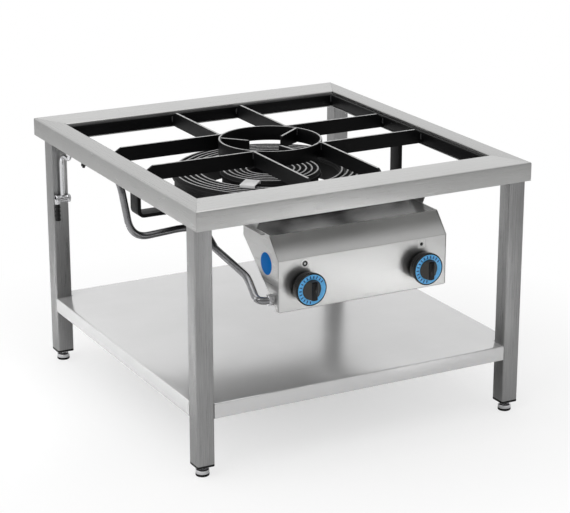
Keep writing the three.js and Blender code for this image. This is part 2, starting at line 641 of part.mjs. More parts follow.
// The inner ring is fed from below, so its mixing tube passes under the outer ring.
const INNER_ENTRY_ANGLE = -138;
const TUBE_BEND = 18;
function innerBurnerBody() {
  const middle = (INNER_BODY_RADIUS + INNER_BODY_INNER) / 2;
  const a = THREE.MathUtils.degToRad(INNER_ENTRY_ANGLE);
  const entryX = middle * Math.cos(a);
  const entryY = BURNER_Y + middle * Math.sin(a);
  const mouthY = -BELL_FACE + BELL_LENGTH - 1;
  const straightY = mouthY + 3 * MIX_TUBE_RADIUS;
  const route = (top) => roundedPath([
    [entryX, entryY, top], [entryX, entryY, INNER_TUBE_Z, TUBE_BEND],
    [INNER_TUBE_X, straightY, INNER_TUBE_Z, TUBE_BEND], [INNER_TUBE_X, mouthY, INNER_TUBE_Z],
  ]);
  const pipe = tube(route(BODY_BOTTOM + CAST_WALL / 2), MIX_TUBE_RADIUS, 24, 12);
  const bore = tube(route(BODY_BOTTOM + CAST_WALL + 1), MIX_TUBE_BORE, 24, 12);
  const trough = centred(burnerTrough(INNER_BODY_RADIUS, INNER_BODY_INNER, INNER_SEGMENTS));
  return trough.add(pipe).add(bell(INNER_TUBE_X, INNER_TUBE_Z)).subtract(bore)
    .subtract(bellBore(INNER_TUBE_X, INNER_TUBE_Z));
}

add('outer_burner_body', outerBurnerBody(), CAST_IRON);
add('outer_burner_cap', centred(burnerCap(OUTER_CAP_RADIUS, OUTER_SEGMENTS)), CAST_IRON);
add('inner_burner_body', innerBurnerBody(), CAST_IRON);
add('inner_burner_cap', centred(burnerCap(INNER_CAP_RADIUS, INNER_SEGMENTS)), CAST_IRON);

// The strap runs level under both castings, turns up at each side and out under the ledge.
function hanger() {
  const level = STRAP_TOP - STRAP_THICKNESS / 2;
  const lug = LEDGE_BOTTOM - GAP - STRAP_THICKNESS / 2;
  const tip = OPENING_X - FRAME_SHEET;
  const line = [
    [-tip, lug], [-STRAP_HALF_SPAN, lug], [-STRAP_HALF_SPAN, level],
    [STRAP_HALF_SPAN, level], [STRAP_HALF_SPAN, lug], [tip, lug],
  ];
  const outline = bentStrip(line, STRAP_THICKNESS, STRAP_BEND);
  return alongY(outline, -STRAP_WIDTH / 2, STRAP_WIDTH / 2).translate([0, BURNER_Y, 0]);
}
add('burner_hanger', hanger(), BLACK_ENAMEL);

// A folded cover over the gap between the rings, open at its right end. The wall at its other end
// goes on down into the gap, where a tab on it is welded to the inner wall of the outer casting.
function pilotShroud() {
  const t = SHROUD_SHEET;
  const half = SHROUD_LENGTH / 2;
  const middle = (INNER_CAP_RADIUS + OUTER_CAP_RADIUS - CAP_SPAN) / 2;
  const low = RIDGE_TOP + GAP;
  const top = RIDGE_TOP + SHROUD_RISE;
  const near = middle + SHROUD_OFFSET - SHROUD_DEPTH / 2;
  const far = near + SHROUD_DEPTH;
  let cover = box(near, far, -half, half, low, top);
  cover = cover.subtract(box(near + t, far - t, t - half, half + 1, low - 1, top - t));
  const legBottom = BODY_BOTTOM + CAST_WALL;
  const legTop = low + t;
  const legHalf = (OUTER_CAP_RADIUS - CAP_SPAN - INNER_CAP_RADIUS) / 2 - 2;
  const wall = OUTER_BODY_INNER * Math.cos(Math.PI / OUTER_SEGMENTS) - GAP;
  const tabReach = Math.sqrt(wall ** 2 - half ** 2);
  cover = cover.add(box(middle - legHalf, middle + legHalf, -half, t - half, legBottom, legTop));
  cover = cover.add(box(middle, tabReach, -half, t - half, legBottom, BODY_TOP - GAP));
  return cover.rotate([0, 0, SHROUD_ANGLE]).translate([0, BURNER_Y, 0]);
}
add('pilot_shroud', pilotShroud(), CHROME);

// ---------------------------------------------------------------- control box
const boxInner = BOX_HALF - BOX_SHEET - GAP;

function controlPanel() {
  const t = BOX_SHEET / 2;
  const line = [
    [PANEL_FACE_Y + BOX_LIP, BOX_BOTTOM + t], [PANEL_FACE_Y + t, BOX_BOTTOM + t],
    [PANEL_FACE_Y + t, PANEL_TOP - t], [SLOPE_BACK_Y + t, BOX_TOP - t], [BOX_REAR_Y, BOX_TOP - t],
  ];
  let panel = alongX(bentStrip(line, BOX_SHEET, FRAME_SHEET + 1, 2).reverse(), -boxInner, boxInner);
  for (const x of [-KNOB_X, KNOB_X]) {
    panel = panel.subtract(rodY(SPINDLE_RADIUS + 2, PANEL_FACE_Y - 1, PANEL_BACK_Y + 1, x, KNOB_HEIGHT));
  }
  return panel;
}

function boxSide(side) {
  const hangTop = LEDGE_BOTTOM - GAP;
  const outline = [
    [PANEL_FACE_Y, BOX_BOTTOM], [PANEL_FACE_Y, PANEL_TOP], [SLOPE_BACK_Y, BOX_TOP],
    [-OPENING_Y + EAR_TOP_WIDTH * 1.5, BOX_TOP], [-OPENING_Y, hangTop],
    [-OPENING_Y + EAR_TOP_WIDTH, hangTop], [BOX_REAR_Y, BOX_TOP], [BOX_REAR_Y, BOX_TOP - BOX_REAR_DROP],
  ];
  const x0 = BOX_HALF - BOX_SHEET;
  const plate = alongX(outline.reverse(), x0, BOX_HALF);
  if (side > 0) return plate;
  const flange = box(x0, BOX_HALF + SIDE_FLANGE, -OPENING_Y - 4, BOX_REAR_Y, BOX_TOP - BOX_SHEET, BOX_TOP);
  const hole = rodX(RAIL_RADIUS + GAP, x0 - 1, BOX_HALF + 1, RAIL_Y, RAIL_HEIGHT, 16);
  return plate.add(flange).subtract(hole).mirror([1, 0, 0]);
}

add('control_panel', controlPanel(), SATIN_STEEL);
add('box_side_left', boxSide(-1), SATIN_STEEL);
add('box_side_right', boxSide(1), SATIN_STEEL);

// ---------------------------------------------------------------- gas rail and valves
function gasRail() {
  const end = BOX_HALF + RAIL_NUT_LENGTH / 2;
  const nutEnd = BOX_HALF + GAP + RAIL_NUT_LENGTH;
  const pipe = rodX(RAIL_RADIUS, -end, KNOB_X + VALVE_WIDTH, RAIL_Y, RAIL_HEIGHT, 16);
  const union = rodX(RAIL_NUT, -nutEnd, -BOX_HALF - GAP, RAIL_Y, RAIL_HEIGHT, 6);
  return pipe.add(union);
}
add('gas_rail', gasRail(), DARK_PIPE);

const valveBottom = RAIL_HEIGHT + RAIL_RADIUS + GAP;
const spindleBack = VALVE_FRONT_Y + SPINDLE_SEAT;
const spindleFront = KNOB_FACE_Y + 3;

function gasValve(x) {
  const top = KNOB_HEIGHT + VALVE_HEIGHT / 2;
  const w = VALVE_WIDTH / 2;
  const body = box(x - w, x + w, VALVE_FRONT_Y, VALVE_BACK_Y, valveBottom, top);
  const nose = rodY(VALVE_WIDTH / 2 + 1, VALVE_BACK_Y - 1, VALVE_BACK_Y + VALVE_NOSE, x, KNOB_HEIGHT, 16);
  const bore = rodY(
    SPINDLE_RADIUS + SPINDLE_BORE_GAP, VALVE_FRONT_Y - 1, spindleBack + KNOB_TRAVEL + 1, x, KNOB_HEIGHT,
  );
  return body.add(nose).subtract(bore);
}

// A bent pipe from the back of a valve to an injector that points into the mixing tube.
function injectorPipe(x, mouthZ) {
  const start = VALVE_BACK_Y + VALVE_NOSE + GAP;
  const tipEnd = -BELL_FACE - INJECTOR_STANDOFF;
  const tipStart = tipEnd - INJECTOR_TIP_LENGTH;
  const turn = start + INJECTOR_LEAD;
  const route = roundedPath([
    [x, start, KNOB_HEIGHT], [x, turn, KNOB_HEIGHT, INJECTOR_BEND],
    [x, turn, mouthZ, INJECTOR_BEND], [x, tipStart, mouthZ],
  ]);
  const nozzle = rodY(INJECTOR_TIP, tipStart - 1, tipEnd, x, mouthZ, 6);
  return tube(route, INJECTOR_RADIUS, 22, 8).add(nozzle);
}

// Knob about its own axis: z runs out of the panel, and is turned to -Y when it is placed.
function knobShape() {
  const face = KNOB_SKIRT;
  const recess = face - DIAL_THICKNESS - GAP;
  const dialEdge = DIAL_OUTER + GAP;
  const body = turned([
    [0, 0], [KNOB_BACK_RADIUS - 1, 0], [KNOB_BACK_RADIUS, 1], [KNOB_BACK_RADIUS, KNOB_STEP],
    [KNOB_FACE_RADIUS, KNOB_STEP + 3.5], [KNOB_FACE_RADIUS, face - 1],
    [KNOB_FACE_RADIUS - 1, face], [dialEdge, face], [dialEdge, recess],
    [KNOB_HUB_RADIUS, recess], [KNOB_HUB_RADIUS, face + 2], [KNOB_HUB_RADIUS - 1.5, face + 3.5],
    [0, face + 3.5],
  ], 36);
  const g = KNOB_GRIP_WIDTH / 2;
  const reach = KNOB_HUB_RADIUS - 0.5;
  const grip = box(-g, g, -reach, reach, face, face + KNOB_GRIP);
  const bore = cylinder(SPINDLE_RADIUS + SPINDLE_BORE_GAP, -1, face - 2.5, 16);
  return body.add(grip).subtract(bore);
}

function dialShape() {
  const top = KNOB_SKIRT;
  return turned([
    [KNOB_HUB_RADIUS + GAP, top - DIAL_THICKNESS], [DIAL_OUTER, top - DIAL_THICKNESS],
    [DIAL_OUTER, top], [KNOB_HUB_RADIUS + GAP, top],
  ], 36);
}

const onPanel = (shape, x) => shape.rotate([90, 0, 0]).translate([x, KNOB_BACK_Y, KNOB_HEIGHT]);

for (const [end, x, mouthZ] of [['left', INNER_TUBE_X, INNER_TUBE_Z], ['right', OUTER_TUBE_X, MIX_TUBE_Z]]) {
  add(`gas_valve_${end}`, gasValve(x), BRASS);
  add(`injector_pipe_${end}`, injectorPipe(x, mouthZ), BRASS);
  add(`spindle_${end}`, rodY(SPINDLE_RADIUS, spindleFront, spindleBack, x, KNOB_HEIGHT, 16), BRASS);
  const collarBack = COLLAR_FRONT_Y + COLLAR_THICKNESS;
  const collarHole = rodY(SPINDLE_RADIUS + GAP, COLLAR_FRONT_Y - 1, collarBack + 1, x, KNOB_HEIGHT, 16);
  const collar = rodY(COLLAR_RADIUS, COLLAR_FRONT_Y, collarBack, x, KNOB_HEIGHT, 16);
  add(`push_collar_${end}`, collar.subtract(collarHole), CHROME);
  add(`knob_${end}`, onPanel(knobShape(), x), BLACK_PLASTIC);
  add(`dial_${end}`, onPanel(dialShape(), x), BLUE_PLASTIC);
}

// ---------------------------------------------------------------- pipework on the left
const railEndX = -(BOX_HALF + GAP + RAIL_NUT_LENGTH + GAP);
const channelX = -(HALF_WIDTH - SIDE_BORDER / 2);
const channelZ = FASCIA_BOTTOM + PIPE_LIFT;
const inletY = LEG_BACK_Y - LEG_SIZE / 2 - INLET_SETBACK;
const joinY = inletY - INLET_RUN; // where the thin inlet pipe meets the supply pipe

// Along inside the left member, down in front of the hanger, under its strap, forward along the
// side of the box and square into the union on the rail.
function supplyPipe() {
  const underZ = STRAP_TOP - STRAP_THICKNESS - PIPE_UNDER;
  const downY = BURNER_Y - STRAP_WIDTH / 2 + PIPE_RADIUS;
  const kinkX = railEndX - PIPE_RADIUS / 4;
  return tube(roundedPath([
    [channelX, joinY - GAP, channelZ],
    [channelX, downY, channelZ, PIPE_BEND],
    [channelX + PIPE_LEAN, downY - PIPE_LEAN, underZ, PIPE_BEND],
    [PIPE_LOOP - BOX_HALF, BURNER_Y, underZ, PIPE_BEND],
    [PIPE_SWEEP_INSET - BOX_HALF, -PIPE_SWEEP, RAIL_HEIGHT + PIPE_SWEEP_RISE, PIPE_SWEEP_BEND],
    [kinkX, RAIL_Y + PIPE_KINK, RAIL_HEIGHT + PIPE_KINK_RISE, PIPE_KINK_BEND],
    [railEndX - PIPE_LAST_BEND - PIPE_RADIUS / 2, RAIL_Y, RAIL_HEIGHT, PIPE_LAST_BEND],
    [railEndX, RAIL_Y, RAIL_HEIGHT],
  ]), PIPE_RADIUS, 60, 8);
}

const teeZ = FASCIA_BOTTOM - TEE_DROP;
function inletPipe() {
  const route = roundedPath([
    [channelX, inletY, teeZ + TEE_RADIUS + GAP],
    [channelX, inletY, channelZ - INLET_DIP, INLET_BEND],
    [channelX, joinY + INLET_END + INLET_CLIMB, channelZ - INLET_DIP, INLET_CLIMB_BEND],
    [channelX, joinY + INLET_END, channelZ, INLET_END / 2],
    [channelX, joinY, channelZ],
  ]);
  return tube(route, INLET_RADIUS, 40, 8);
}

function inletTee() {
  const reach = LEG_SIZE / 2 - LEG_SIDE_INSET;
  const barrel = rodX(TEE_RADIUS, channelX - reach, channelX + reach, inletY, teeZ, 16);
  const nutAt = reach - TEE_NUT / 2;
  const nut = (x) => rodX(TEE_RADIUS + 2, x - TEE_NUT / 2, x + TEE_NUT / 2, inletY, teeZ, 6);
  const outlet = cylinder(TEE_RADIUS - 1, teeZ - TEE_OUTLET, teeZ, 16)
    .translate([channelX - nutAt, inletY, 0]);
  return barrel.add(nut(channelX - nutAt)).add(nut(channelX + nutAt)).add(outlet);
}

function hoseTail() {
  const top = teeZ - TEE_OUTLET - GAP;
  const ribs = [];
  const pitch = HOSE_TAIL_LENGTH / 4;
  for (let i = 0; i < 4; i += 1) {
    ribs.push([HOSE_TAIL_RADIUS - 1.2, top - i * pitch], [HOSE_TAIL_RADIUS, top - (i + 0.9) * pitch]);
  }
  const low = top - HOSE_TAIL_LENGTH;
  const end = HOSE_TAIL_RADIUS - 1;
  const profile = [[HOSE_TAIL_BORE, low], [end, low], ...ribs.reverse(), [HOSE_TAIL_BORE, top]];
  return turned(profile, 16).translate([channelX - LEG_SIZE / 2 + LEG_SIDE_INSET + TEE_NUT / 2, inletY, 0]);
}

add('supply_pipe', supplyPipe(), DARK_PIPE);
add('inlet_pipe', inletPipe(), CHROME);
add('inlet_tee', inletTee(), CHROME);
add('inlet_hose_tail', hoseTail(), BLACK_PLASTIC);

// The knobs stand out in front, so the stove is moved back until its box is centred.
stove.position.y = (-KNOB_FRONT_Y - HALF_DEPTH) / 2;
stove.updateMatrixWorld(true);

export default stove;
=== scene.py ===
"""Visual model of a stock pot range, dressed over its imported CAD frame.

One operator builds each group of like pieces, in millimetres in the frame's axes: +Z up, -Y towards
the user.
"""
import math

import bmesh
import bpy
from bpy.props import FloatProperty, FloatVectorProperty, IntProperty, PointerProperty
from bpy.types import Operator, Panel, PropertyGroup
from mathutils import Matrix, Vector


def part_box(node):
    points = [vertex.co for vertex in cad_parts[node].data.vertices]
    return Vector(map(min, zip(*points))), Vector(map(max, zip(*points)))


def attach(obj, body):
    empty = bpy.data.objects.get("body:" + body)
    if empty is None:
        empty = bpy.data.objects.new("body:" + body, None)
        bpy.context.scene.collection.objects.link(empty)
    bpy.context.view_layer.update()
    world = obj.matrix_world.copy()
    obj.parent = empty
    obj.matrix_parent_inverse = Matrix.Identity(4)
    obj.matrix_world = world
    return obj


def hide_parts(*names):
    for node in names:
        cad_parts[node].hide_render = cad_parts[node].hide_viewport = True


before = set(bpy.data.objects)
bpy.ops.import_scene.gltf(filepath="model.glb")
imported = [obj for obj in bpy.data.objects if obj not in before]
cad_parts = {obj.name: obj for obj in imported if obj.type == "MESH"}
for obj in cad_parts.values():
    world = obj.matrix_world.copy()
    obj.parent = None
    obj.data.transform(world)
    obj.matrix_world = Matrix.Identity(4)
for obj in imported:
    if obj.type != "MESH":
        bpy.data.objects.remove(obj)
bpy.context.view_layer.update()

bl_info = {
    "name": "Stock pot range",
    "version": (1, 0, 0),
    "blender": (4, 5, 0),
    "location": "3D Viewport > Sidebar > Range",
    "description": "Builds the table, grate, burners, control box and pipework of a stock pot range",
    "category": "Object",
}

MM = 0.001


def extent(node):
    """Lowest and highest corner of a CAD node, in millimetres."""
    low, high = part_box(node)
    return Vector(low) / MM, Vector(high) / MM


# ------------------------------------------------------------------ sizes
# All in millimetres: read from the frame where it shows them, or else the part's own driving sizes.
FRONT_LOW, FRONT_HIGH = extent("frame_front")
HALF_WIDTH = 300.0
TABLE_FRONT = FRONT_LOW.y
TABLE_BACK = extent("frame_back")[1].y
TABLE_MIDDLE = (TABLE_FRONT + TABLE_BACK) / 2
TABLE_TOP = FRONT_HIGH.z
FASCIA_BOTTOM = FRONT_LOW.z
SIDE_BORDER, END_BORDER = 34.0, 68.0
OPENING_X = HALF_WIDTH - SIDE_BORDER
OPENING_FRONT = TABLE_FRONT + END_BORDER
OPENING_BACK = TABLE_BACK - END_BORDER
SHEET = 1.5          # thickness of every sheet
SEAT_GAP = 0.3       # left between two pieces that touch

# The grate lies on the table's ledge, and what hangs under the table hangs from it.
GRATE_BOTTOM = extent("grate_rim_left")[0].z
LEDGE_TOP = GRATE_BOTTOM - SEAT_GAP
LEDGE_BOTTOM = LEDGE_TOP - SHEET
LEDGE_REACH = 8.0
HANG_TOP = LEDGE_BOTTOM - SEAT_GAP
RIM_CLEARANCE = 3.0
BAR_THICKNESS = 4.0
BAR_SPACING = 64.0
POT_RING_INNER, POT_RING_OUTER = 84.0, 88.0
PRONG_TIP, PRONG_ROOT = 35.0, 83.3
PRONG_ANGLES = (30, 150, 270)

LEG_X = 283.0
LEG_SIZE = 30.0
LEG_YS = {end: extent(f"leg_{end}_left")[0].y + LEG_SIZE / 2 for end in ("front", "back")}
PLACES = [(f"{end}_{side}", sx * LEG_X, LEG_YS[end])
          for end in ("front", "back") for side, sx in (("left", -1), ("right", 1))]
SHELF_LOW, SHELF_HIGH = extent("shelf")

BURNER = Vector((0.0, TABLE_MIDDLE + 6.0, 0.0))
STRAP_LEVEL, STRAP_THICKNESS = 337.0, 6.0
CASTING_BOTTOM = STRAP_LEVEL + STRAP_THICKNESS / 2 + SEAT_GAP
CAP_BOTTOM = extent("outer_burner_cap")[0].z
CAP_TOP = extent("outer_burner_cap")[1].z
MOUTH_Y = extent("outer_burner_body")[0].y
MOUTH_RADIUS, MOUTH_LENGTH = 16.0, 11.0

PANEL_LOW, PANEL_HIGH = extent("control_panel")
BOX_HALF = 153.0
BOX_HEIGHT = 118.0
FACE_HEIGHT = 85.0
SLOPE_DEPTH = 29.0
KNOB_X = 106.0
KNOB_BACK = extent("knob_left")[1].y
KNOB_Z = (extent("knob_left")[0].z + extent("knob_left")[1].z) / 2
KNOBS = (("left", -KNOB_X), ("right", KNOB_X))

RAIL_Y, RAIL_Z = PANEL_LOW.y + 16, PANEL_LOW.z + 19
SUPPLY_Z = 410.0
INLET_Y = TABLE_MIDDLE + 248
TEE_X, TEE_Z = -293.0, 307.0


# ------------------------------------------------------------------ colour
def linear(code):
    """sRGB hex to linear RGBA."""
    channels = [int(code[i:i + 2], 16) / 255 for i in (0, 2, 4)]
    return tuple(c / 12.92 if c <= 0.04045 else ((c + 0.055) / 1.055) ** 2.4
                 for c in channels) + (1.0,)


def shade(colour, factor):
    """A lighter or darker version of a linear colour."""
    return tuple(min(1.0, c * factor) for c in colour[:3]) + (1.0,)


# ------------------------------------------------------------------ outlines
def fillet(points, steps=4, closed=True):
    """Rounds the corners of a 2-D outline; each point is (x, y) or (x, y, radius)."""
    count, out = len(points), []
    for i, point in enumerate(points):
        corner = Vector(point[:2])
        radius = point[2] if len(point) > 2 else 0
        if not radius or (not closed and i in (0, count - 1)):
            out.append(corner)
            continue
        before = Vector(points[i - 1][:2]) - corner
        after = Vector(points[(i + 1) % count][:2]) - corner
        half = before.angle(after) / 2
        if abs(half - math.pi / 2) < 1e-4:
            out.append(corner)
            continue
        setback = min(radius / math.tan(half), before.length * 0.49, after.length * 0.49)
        radius = setback * math.tan(half)
        b, a = before.normalized(), after.normalized()
        centre = corner + (b + a).normalized() * (radius / math.sin(half))
        start, end = corner + b * setback - centre, corner + a * setback - centre
        turn = start.angle_signed(end)
        for k in range(steps + 1):
            out.append(centre + Matrix.Rotation(-turn * k / steps, 2) @ start)
    return out


def offset_outline(points, distance):
    """A closed anticlockwise outline moved inward by a distance, with mitred corners."""
    out, count = [], len(points)
    for i, p in enumerate(points):
        p = Vector(p[:2])
        d0 = (p - Vector(points[i - 1][:2])).normalized()
        d1 = (Vector(points[(i + 1) % count][:2]) - p).normalized()
        n0, n1 = Vector((-d0.y, d0.x)), Vector((-d1.y, d1.x))
        out.append(p + (n0 + n1) * (distance / (1 + n0.dot(n1))))
    return out


def strip_outline(line, thickness, bend, steps=5):
    """Closed section of a bent sheet that follows a centre line; bend is the outside radius."""
    half = thickness / 2
    sides = ([], [])
    for i, p in enumerate(line):
        p = Vector(p)
        d0 = (p - Vector(line[i - 1])).normalized() if i else None
        d1 = (Vector(line[i + 1]) - p).normalized() if i < len(line) - 1 else None
        d0, d1 = d0 or d1, d1 or d0
        n0, n1 = Vector((-d0.y, d0.x)), Vector((-d1.y, d1.x))
        shift = (n0 + n1) * (half / (1 + n0.dot(n1)))
        left_turn = d0.x * d1.y - d0.y * d1.x > 0
        for side, sign in ((0, 1), (1, -1)):
            inner = left_turn == (sign > 0)
            radius = 0.25 if d0 == d1 else (max(bend - thickness, 0.4) if inner else bend)
            sides[side].append((*(p + shift * sign), radius))
    return fillet(sides[0] + sides[1][::-1], steps)


# ------------------------------------------------------------------ meshes
def piece(name, bm, angle=32):
    """A finished mesh object at the origin from a bmesh in millimetres, smooth but for its sharp edges."""
    bmesh.ops.remove_doubles(bm, verts=bm.verts, dist=0.002)
    bmesh.ops.recalc_face_normals(bm, faces=bm.faces)
    bmesh.ops.scale(bm, vec=Vector((MM, MM, MM)), verts=bm.verts)
    mesh = bpy.data.meshes.new(name)
    bm.to_mesh(mesh)
    bm.free()
    mesh.shade_smooth()
    mesh.set_sharp_from_angle(angle=math.radians(angle))
    obj = bpy.data.objects.new(name, mesh)
    bpy.context.scene.collection.objects.link(obj)
    return obj


MATERIALS = {}


def dress(obj, body, slot, finishes, *nodes):
    """Gives a piece its finishes by name and its body, and hides the CAD nodes that it stands for; slot is
    not used.
    """
    slots = obj.data.materials
    for i, finish in enumerate([finishes] if isinstance(finishes, str) else finishes):
        if i < len(slots):
            slots[i] = MATERIALS[finish]
        else:
            slots.append(MATERIALS[finish])
    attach(obj, body)
    if nodes:
        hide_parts(*nodes)
    return obj


def join(bm, other):
    """Adds one bmesh to another."""
    mesh = bpy.data.meshes.new("part")
    other.to_mesh(mesh)
    other.free()
    bm.from_mesh(mesh)
    bpy.data.meshes.remove(mesh)
    return bm


def soften(bm, width, segments=2, angle=30):
    """Rounds every edge sharper than the angle."""
    limit = math.radians(angle)
    edges = [e for e in bm.edges if len(e.link_faces) == 2 and e.calc_face_angle(0) > limit]
    bmesh.ops.bevel(bm, geom=edges, offset=width, segments=segments, profile=0.5,
                    affect='EDGES', clamp_overlap=True)
    return bm


def loft(rings, caps=True, closed=False):
    """A skin through rings of equally many points."""
    bm = bmesh.new()
    rows = [[bm.verts.new(Vector(p)) for p in ring] for ring in rings]
    count = len(rings[0])
    pairs = list(zip(rows, rows[1:])) + ([(rows[-1], rows[0])] if closed else [])
    for low, high in pairs:
        for i in range(count):
            j = (i + 1) % count
            bm.faces.new((low[i], low[j], high[j], high[i]))
    if caps and not closed:
        bm.faces.new(rows[0][::-1])
        bm.faces.new(rows[-1])
    return bm


AXES = {"X": lambda u, v, w: (w, u, v), "Y": lambda u, v, w: (u, w, v), "Z": lambda u, v, w: (u, v, w)}


def extrude(outline, axis, low, high, width=0.3, segments=2):
    """An outline drawn out along an axis, with softened ends. X takes (y, z), Y (x, z), Z (x, y)."""
    place = AXES[axis]
    bm = loft([[place(p[0], p[1], w) for p in outline] for w in (low, high)])
    if width:
        bmesh.ops.recalc_face_normals(bm, faces=bm.faces)
        ends = [f for f in bm.faces if len(f.verts) == len(outline)]
        edges = list(dict.fromkeys(e for f in ends for e in f.edges))
        bmesh.ops.bevel(bm, geom=edges, offset=width, segments=segments, profile=0.5,
                        affect='EDGES', clamp_overlap=True)
    return bm


def lathe(profile, segments=48, centre=(0, 0, 0), axis="Z", closed=False):
    """A profile of (radius, height) points turned about an axis through a centre."""
    cx, cy, cz = centre
    rings = []
    for k in range(segments):
        a = math.tau * k / segments
        c, s = math.cos(a), math.sin(a)
        if axis == "Z":
            rings.append([(cx + r * c, cy + r * s, cz + h) for r, h in profile])
        elif axis == "Y":
            rings.append([(cx + r * c, cy - h, cz + r * s) for r, h in profile])
        else:
            rings.append([(cx + h, cy + r * c, cz + r * s) for r, h in profile])
    bm = bmesh.new()
    rows = [[bm.verts.new(p) for p in ring] for ring in rings]
    count = len(profile)
    last = count if closed else count - 1
    for k in range(segments):
        a, b = rows[k], rows[(k + 1) % segments]
        for i in range(last):
            j = (i + 1) % count
            bm.faces.new((a[i], b[i], b[j], a[j]))
    bmesh.ops.remove_doubles(bm, verts=bm.verts, dist=0.001)
    bmesh.ops.dissolve_degenerate(bm, dist=0.0005, edges=bm.edges)
    return bm


def rounded_path(points, steps=10):
    """A polyline of (x, y, z[, bend]) points with each inner corner rounded."""
    corners = [Vector(p[:3]) for p in points]
    out = [corners[0]]
    for i in range(1, len(corners) - 1):
        before = (corners[i - 1] - corners[i]).normalized()
        after = (corners[i + 1] - corners[i]).normalized()
        setback = points[i][3] / math.tan(before.angle(after) / 2)
        start, end = corners[i] + before * setback, corners[i] + after * setback
        for k in range(steps + 1):
            t = k / steps
            out.append(start * (1 - t) ** 2 + corners[i] * (2 * t * (1 - t)) + end * t ** 2)
    out.append(corners[-1])
    return out


def pipe(path, radius, sides=24, cap=0.6):
    """A round pipe along a polyline, with softened ends."""
    directions = [(path[min(i + 1, len(path) - 1)] - path[max(i - 1, 0)]).normalized()
                  for i in range(len(path))]
    normal = directions[0].orthogonal().normalized()
    rings = []
    for i, (p, d) in enumerate(zip(path, directions)):
        normal = (normal - d * normal.dot(d)).normalized()
        side = d.cross(normal)
        sizes = [(0.0, radius)]
        if i == 0:
            sizes = [(0.0, radius - cap), (cap, radius)]
        elif i == len(path) - 1:
            sizes = [(-cap, radius), (0.0, radius - cap)]
        for shift, r in sizes:
            rings.append([p + d * shift + normal * (r * math.cos(math.tau * k / sides))
                          + side * (r * math.sin(math.tau * k / sides)) for k in range(sides)])
    return loft(rings)


def hexagon(radius, low, high, centre=(0, 0), axis="Z", chamfer=0.8, sides=24):
    """A chamfered hexagon nut about an axis; centre is (x, y) for Z, (x, z) for Y, (y, z) for X."""
    flat = radius * math.cos(math.pi / 6)
    face = flat - 0.2
    place = AXES[axis]
    rings = []
    for w, r in ((low, face), (low + chamfer, radius), (high - chamfer, radius), (high, face)):
        ring = []
        for k in range(sides):
            a = math.tau * k / sides
            wedge = a % (math.pi / 3) - math.pi / 6
            reach = min(r, flat / math.cos(wedge))
            ring.append(place(centre[0] + reach * math.cos(a), centre[1] + reach * math.sin(a), w))
        rings.append(ring)
    return loft(rings)


def block(low, high, width=0.8, segments=3):
    """A box with rounded edges."""
    bm = bmesh.new()
    bmesh.ops.create_cube(bm, size=1.0)
    low, high = Vector(low), Vector(high)
    for v in bm.verts:
        v.co = Vector(((v.co[i] + 0.5) * (high[i] - low[i]) + low[i]) for i in range(3))
    return soften(bm, width, segments)


def refined(name, node, width=0.4, segments=2, flat=4):
    """A copy of a CAD node with its triangles merged into faces and its edges rounded."""
    bm = bmesh.new()
    bm.from_mesh(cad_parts[node].data)
    bmesh.ops.scale(bm, vec=Vector((1 / MM,) * 3), verts=bm.verts)
    bmesh.ops.remove_doubles(bm, verts=bm.verts, dist=0.01)
    bmesh.ops.dissolve_limit(bm, angle_limit=math.radians(flat), verts=bm.verts, edges=bm.edges)
    if width:
        soften(bm, width, segments, 34)
    return piece(name, bm, 40)


# ------------------------------------------------------------------ node trees
def add_node(tree, kind, inputs=None, stops=(), **settings):
    """Adds a node; inputs maps a socket to a value or to an output, stops are a ramp's (place, colour)."""
    node = tree.nodes.new(kind)
    for key, value in settings.items():
        setattr(node, key, value)
    for key, value in (inputs or {}).items():
        socket = node.inputs[key]
        if isinstance(value, bpy.types.NodeSocket):
            tree.links.new(value, socket)
        else:
            socket.default_value = value
    if stops:
        for element, (place, colour) in zip(node.color_ramp.elements, stops):
            element.position = place
            element.color = colour
    return node


def new_material(name):
    """An empty material, its tree and the object coordinates in it."""
    material = bpy.data.materials.new(name)
    material.use_nodes = True
    tree = material.node_tree
    tree.nodes.clear()
    return material, tree, add_node(tree, "ShaderNodeTexCoord").outputs["Object"]


def end_material(tree, inputs):
    """Ends a material's tree in one surface shader with these inputs."""
    shader = add_node(tree, "ShaderNodeBsdfPrincipled", inputs).outputs["BSDF"]
    add_node(tree, "ShaderNodeOutputMaterial", {"Surface": shader})


def grey(value):
    """A linear grey."""
    return (value, value, value, 1.0)


def repeats(size):
    """How many times a pattern of this size in millimetres fits in a metre."""
    return 1 / (size * MM)


# Grinding marks are about 0.1 mm wide, too fine to show, so they are drawn 1 mm wide and 59 mm long.
STREAK_LENGTH, STREAK_RATIO = 58.82, 60.0
HANDLING_CLOUD = 111.1
# Thin sheet is never quite flat: its waves are about 170 mm long, and a few tenths high.
SHEET_WAVE = 166.7
# Blacking and enamel vary in tone over a few centimetres.
COAT_CLOUD = 45.45
# Grain of each skin in millimetres, drawn coarser than the real one where that is too fine to show.
ENAMEL_GRAIN, CAST_GRAIN = 3.846, 2.381


